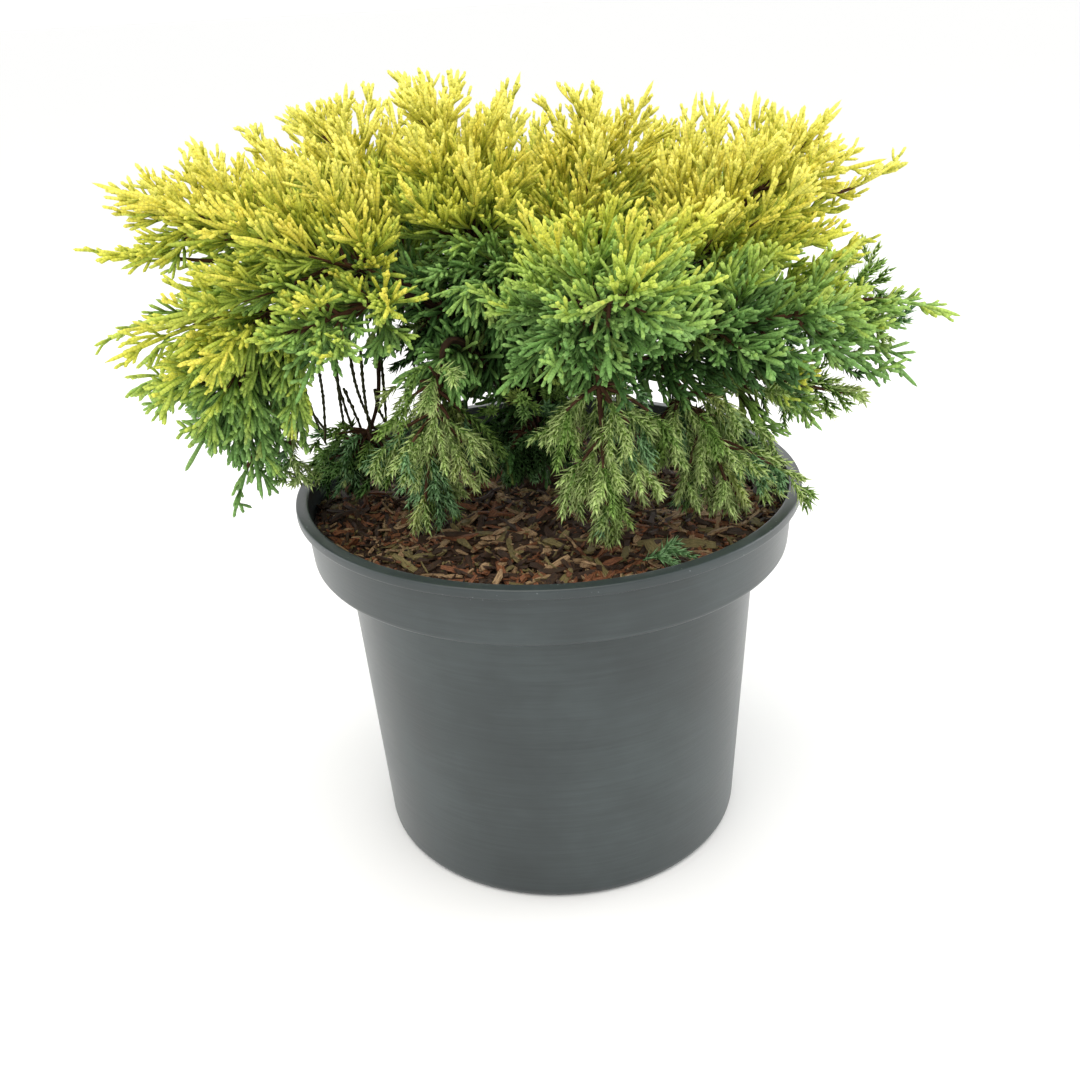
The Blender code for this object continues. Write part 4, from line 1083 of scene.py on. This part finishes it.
def potFinish():
    # Injection-moulded polypropylene, dark slate: satin, cloudy from handling over some 70 mm, with fine rub
    # marks round it and pale nicks of about a millimetre at the lip
    finish, tree, shader = newFinish("moulded_slate_plastic", {"Specular IOR Level": 0.5, "IOR": 1.49})
    place = addNode(tree, "ShaderNodeTexCoord")
    cloud = addNode(tree, "ShaderNodeTexNoise", {"Scale": 14.0, "Detail": 4.0, "Roughness": 0.6},
                    {"Vector": place.outputs["Object"]})
    flat = addNode(tree, "ShaderNodeMapping", {"Scale": (1.0, 1.0, 22.0)},
                   {"Vector": place.outputs["Object"]})
    rubs = addNode(tree, "ShaderNodeTexNoise", {"Scale": 26.0, "Detail": 5.0, "Roughness": 0.7},
                   {"Vector": flat.outputs[0]})
    both = addNode(tree, "ShaderNodeMath", {"operation": "MULTIPLY_ADD", 1: potLook["rubbed"]},
                   {0: rubs.outputs["Fac"], 2: cloud.outputs["Fac"]})
    stops = [(at, linear(code)) for at, code in potLook["slate"]]
    colour = addNode(tree, "ShaderNodeValToRGB", {"stops": stops}, {"Fac": both.outputs[0]})
    specks = addNode(tree, "ShaderNodeTexNoise", {"Scale": 760.0, "Detail": 1.0},
                     {"Vector": place.outputs["Object"]})
    height = addNode(tree, "ShaderNodeSeparateXYZ", links={0: place.outputs["Object"]})
    low, high = potLook["lip"]
    nearLip = addNode(tree, "ShaderNodeMapRange",
                      {"From Min": low, "From Max": high, "To Max": potLook["nearLip"]},
                      {"Value": height.outputs[2]})
    nicks = addNode(tree, "ShaderNodeMath", {"operation": "ADD"},
                    {0: specks.outputs["Fac"], 1: nearLip.outputs[0]})
    nick = addNode(tree, "ShaderNodeMapRange",
                   {"From Min": potLook["nicks"][0], "From Max": potLook["nicks"][1]},
                   {"Value": nicks.outputs[0]})
    nicked = addNode(tree, "ShaderNodeMix", {"data_type": "RGBA", 7: linear(potLook["nickColour"])},
                     {0: nick.outputs[0], 6: colour.outputs["Color"]})
    tree.links.new(nicked.outputs[2], shader.inputs["Base Color"])
    smooth, rough = potLook["roughness"]
    satin = addNode(tree, "ShaderNodeMapRange", {"From Min": 0.4, "To Min": smooth, "To Max": rough},
                    {"Value": both.outputs[0]})
    tree.links.new(satin.outputs[0], shader.inputs["Roughness"])
    bump = addNode(tree, "ShaderNodeBump", {"Strength": 0.25, "Distance": 0.0003},
                   {"Height": rubs.outputs["Fac"]})
    tree.links.new(bump.outputs[0], shader.inputs["Normal"])
    return finish


lipFoot = pot["height"] - pot["lipHeight"]
shoulder = pot["height"] - pot["lipHeight"] - pot["bandHeight"]


def innerProfile(inset=0.0):
    # (radius, height) of the pot's inside from its middle to its rim, drawn in by the inset
    wall, (slopeIn, slopeUp) = pot["wall"], pot["footSlope"]
    return [(0, wall + inset), (pot["bodyFoot"] - wall - slopeIn - inset, wall + inset),
            (pot["bodyFoot"] - wall - inset, wall + slopeUp + inset),
            (pot["bodyTop"] - wall - inset, shoulder + inset),
            (pot["bandFoot"] - wall - inset, shoulder + wall + inset),
            (pot["bandTop"] - wall - inset, pot["height"] - pot["rimDrop"])]


def dressPot():
    slip = pot["slip"]
    outside = [(0, 0), (pot["bodyFoot"], 0), (pot["bodyTop"], shoulder), (pot["bandFoot"] - slip, shoulder),
               (pot["bandTop"], lipFoot), (pot["lipRadius"], lipFoot + slip),
               (pot["lipRadius"], pot["height"]),
               (pot["bandTop"] - pot["wall"] + slip, pot["height"])]
    inside = innerProfile()[::-1]
    rounds = pot["outerRounds"] + [pot["innerRound"]] * (len(inside) - 1) + [0]
    points, faceSets = turnedPart(rounded(outside + inside, rounds), pot["sides"])
    piece = putMesh("pot_shell", points, faceSets, potFinish())
    # drain holes, drilled through the floor
    radius, reach = pot["holeRadius"], pot["drillReach"]
    drill = np.array([(0, -reach), (radius, -reach), (radius, reach), (0, reach)])
    drills = []
    for turn in 2 * math.pi * np.arange(pot["holes"]) / pot["holes"]:
        drillPoints, drillFaces = turnedPart(drill, pot["holeSides"])
        drillPoints += (math.cos(turn) * pot["holeRing"], math.sin(turn) * pot["holeRing"], 0)
        drills.append((drillPoints, drillFaces, np.zeros_like(drillPoints)))
    cutter = putMesh("drain_cutter", *joinParts(drills)[:2], piece.data.materials[0])
    shell = piece.modifiers.new("drain", "BOOLEAN")
    shell.operation, shell.solver, shell.object = "DIFFERENCE", "EXACT", cutter
    bpy.context.view_layer.update()
    cut = bpy.data.meshes.new_from_object(piece.evaluated_get(bpy.context.evaluated_depsgraph_get()))
    piece.modifiers.clear()
    piece.data = cut
    piece.data.set_sharp_from_angle(angle=pot["sharpFrom"])
    bpy.data.objects.remove(cutter)
    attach(piece, "root")
    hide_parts("pot")


dressPot()

print("mulch")


def lumps(x, y, pitch, seed, lattice=64):
    # Smooth noise: random heights on a square lattice, blended by 3t^2 - 2t^3 between its corners
    heights = np.random.default_rng(seed).uniform(-1, 1, (lattice, lattice))
    u, v = x / pitch + lattice // 2, y / pitch + lattice // 2
    i, j = np.floor(u).astype(int), np.floor(v).astype(int)
    s, t = u - i, v - j
    s, t = s * s * (3 - 2 * s), t * t * (3 - 2 * t)
    a, b, c, d = (heights[(i + p) % lattice, (j + q) % lattice] for q in (0, 1) for p in (0, 1))
    return (a + (b - a) * s) * (1 - t) + (c + (d - c) * s) * t


def fromTrunk(x, y):
    return np.hypot(x - trunk["foot"][0], y - trunk["foot"][1])


def soilHeight(x, y):
    # Domed, level where the trunk stands, and uneven by three sizes of lump elsewhere
    away = np.hypot(x, y) / pot["bandTop"]
    height = soil["crown"] + (soil["edge"] - soil["crown"]) * away ** 2
    blend = np.clip(fromTrunk(x, y) / trunk["flatPatch"] - soil["flatShare"], 0, 1)
    rough = sum(lumps(x, y, pitch, seed) * size for pitch, size, seed in soil["lumps"])
    return soil["crown"] - soil["sunk"] + (height + rough - soil["crown"]) * blend


mulchLook = {
    "chips": 11000, "shortest": 0.0022, "longest": 0.021, "sizePower": 6.5, "sections": 5,
    # a splinter's width (share of its length, more, most) and thickness (share of its width, more)
    "widthShare": (0.04, 0.24), "widthMore": 0.0004, "widest": 0.0027, "thickShare": (0.25, 0.60),
    "thickMore": 0.0003,
    "flakeShare": 0.05, "flakeLength": (0.004, 0.012), "flakeWidth": (0.0024, 0.0046), "flakeThick": 0.0009,
    # how chips slope, roll, bend, sway and taper, and how ragged their corners are
    "slope": 0.36, "level": 1.15, "roll": 0.35, "bend": 0.06, "sway": 0.05, "taper": (0.05, 0.65),
    "taperPower": 9, "waist": (0.8, 1.15), "ragged": 0.17,
    # how high they lie on the ground, the room they leave at wall and trunk
    "lie": (-0.0006, 0.0020), "knownLie": 0.0016, "fromWall": 0.002, "endFromWall": 0.0016, "fromBark": 0.004,
    # chips that stand out in the photo: place (x, y), turn in degrees, length, width, share of the deal
    "known": [(-0.044, -0.081, 2, 0.034, 0.0026, 0.50), (0.015, -0.053, -10, 0.014, 0.0040, 0.95),
              (-0.070, -0.066, -30, 0.012, 0.0042, 0.60), (0.012, -0.090, 24, 0.009, 0.0040, 0.75),
              (0.030, -0.066, 78, 0.011, 0.0034, 0.93), (0.000, -0.074, -62, 0.010, 0.0032, 0.97),
              (0.051, -0.060, -8, 0.033, 0.0055, 0.95), (-0.058, -0.048, 34, 0.024, 0.0036, 0.80)],
    "colours": {"dark_bark": ("#170e08", "#4f3520", 0.46), "red_bark": ("#40210f", "#a06640", 0.22),
                "tan_splinters": ("#5f4227", "#ccaa80", 0.18), "olive_wood": ("#4f4627", "#938453", 0.14)},
    "ground": ("#120c08", "#3c271a"), "groundStretch": 0.6,
}


def mulchFinish(name, dark, light):
    # Shredded conifer bark, damp and matt: fibres a third of a millimetre wide run along each chip, paler
    # where it has split
    return fibrousFinish(name, {"Roughness": 0.62, "Specular IOR Level": 0.45}, (0.45, 3.2, 7.0),
                         {"Detail": 5.0, "Roughness": 0.7}, [(0.36, dark), (0.64, light)],
                         {"Strength": 0.8, "Distance": 0.0006})


def chipParts(places, rng, tag):
    # Flat splinters: a four-cornered section carried along a bent line, thinned and frayed to both ends.
    # Returns every chip's corners and growth, which chips end inside the pot, and one chip's faces
    look = mulchLook
    count, sections = len(places), look["sections"]
    size = rng.random(count) ** look["sizePower"]
    length = look["shortest"] + (look["longest"] - look["shortest"]) * size
    width = np.minimum(length * rng.uniform(*look["widthShare"], count) + look["widthMore"], look["widest"])
    flake = rng.random(count) < look["flakeShare"]
    length = np.where(flake, rng.uniform(*look["flakeLength"], count), length)
    width = np.where(flake, rng.uniform(*look["flakeWidth"], count), width)
    thick = width * rng.uniform(*look["thickShare"], count) + look["thickMore"]
    thick = np.where(flake, look["flakeThick"], thick)
    yaw = rng.uniform(0, 2 * math.pi, count)
    slope = rng.normal(0, look["slope"], count) * (look["level"] - size)
    known = np.array(look["known"])
    some = slice(0, len(known))
    slope[some] = 0.0
    yaw[some], length[some], width[some] = np.radians(known[:, 2]), known[:, 3], known[:, 4]
    along = np.stack([np.cos(yaw) * np.cos(slope), np.sin(yaw) * np.cos(slope), np.sin(slope)], -1)
    side = unit(np.cross(along, (0, 0, 1.0)))
    normal = np.cross(side, along)
    roll = rng.normal(0, look["roll"], count)[:, None]
    side, normal = side * np.cos(roll) + normal * np.sin(roll), normal * np.cos(roll) - side * np.sin(roll)
    station = np.linspace(-0.5, 0.5, sections)
    bend = rng.normal(0, look["bend"], count)[:, None] * (station ** 2 * 4 - 0.3) * length[:, None]
    sway = rng.normal(0, look["sway"], (count, sections)) * width[:, None]
    taper = 1 - rng.uniform(*look["taper"], count)[:, None] * np.abs(station * 2) ** look["taperPower"]
    taper = taper * rng.uniform(*look["waist"], (count, sections))
    way = station * length[:, None]
    middle = (places[:, None] + along[:, None] * way[..., None] + normal[:, None] * bend[..., None]
              + side[:, None] * sway[..., None])
    u = (width[:, None] * taper / 2)[..., None] * side[:, None]
    v = (thick[:, None] * taper / 2)[..., None] * normal[:, None]
    ragged = rng.normal(0, look["ragged"], (count, sections, 4, 1))
    corners = np.stack([middle - u - v, middle + u - v, middle + u + v, middle - u + v], 2)
    corners = corners + ragged * np.stack([u, v, u, v], 2)
    growth = np.zeros((count, sections, 4, 3))
    growth[..., 0] = (way / millimetre)[..., None]
    growth[..., 1] = np.array([-1, 1, 1.4, -0.6]) * (width[:, None, None] / millimetre / 2)
    growth[..., 2] = tag[:, None, None]
    ends = middle[:, [0, -1]]
    inside = np.hypot(ends[..., 0], ends[..., 1]).max(1) < pot["bandTop"] - pot["wall"] - look["endFromWall"]
    grid = np.arange(sections * 4).reshape(sections, 4)
    return corners, growth, inside, np.concatenate([wrapped(grid), grid[:1, ::-1], grid[-1:]])


def dressMulch():
    look = mulchLook
    profile = innerProfile(soil["gap"])
    low, high = profile[-2:]
    rim = low[0] + (high[0] - low[0]) * (soil["edge"] - low[1]) / (high[1] - low[1])
    top = [(rim * (1 - k / soil["rings"]), soil["edge"]) for k in range(soil["rings"])]
    points, faceSets = turnedPart(np.array(profile[:-1] + top + [(0, soil["crown"])]), soil["sides"])
    lifted = points[:, 2] > soil["edge"] - 0.0001
    points[lifted, 2] = soilHeight(points[lifted, 0], points[lifted, 1])
    piece = putMesh("mulch_ground", points, faceSets, mulchFinish("packed_bark_fines", *look["ground"]),
                    points / millimetre * look["groundStretch"])
    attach(piece, "root")
    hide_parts("soil")
    rng = np.random.default_rng(5)
    count = look["chips"]
    away = (pot["bandTop"] - pot["wall"] - look["fromWall"]) * np.sqrt(rng.random(count))
    turn = rng.uniform(0, 2 * math.pi, count)
    x, y = away * np.cos(turn), away * np.sin(turn)
    known = np.array(look["known"])
    some = slice(0, len(known))
    x[some], y[some] = known[:, 0], known[:, 1]
    height = soilHeight(x, y) + rng.uniform(*look["lie"], count)
    height[some] += look["knownLie"]
    corners, growth, inside, chip = chipParts(np.stack([x, y, height], -1), rng, rng.random(count))
    inside &= fromTrunk(x, y) > trunk["radius"] + trunk["flare"] + look["fromBark"]
    dealt = rng.random(count)
    dealt[some] = known[:, 5]
    first = 0.0
    for name, (dark, light, share) in look["colours"].items():
        pick = inside & (dealt >= first) & (dealt < first + share)
        first += share
        faces = (chip[None] + (np.arange(pick.sum()) * look["sections"] * 4)[:, None, None]).reshape(-1, 4)
        piece = putMesh("mulch_" + name, corners[pick].reshape(-1, 3), [faces],
                        mulchFinish(name, dark, light), growth[pick].reshape(-1, 3), smooth=False)
        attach(piece, "root")


dressMulch()
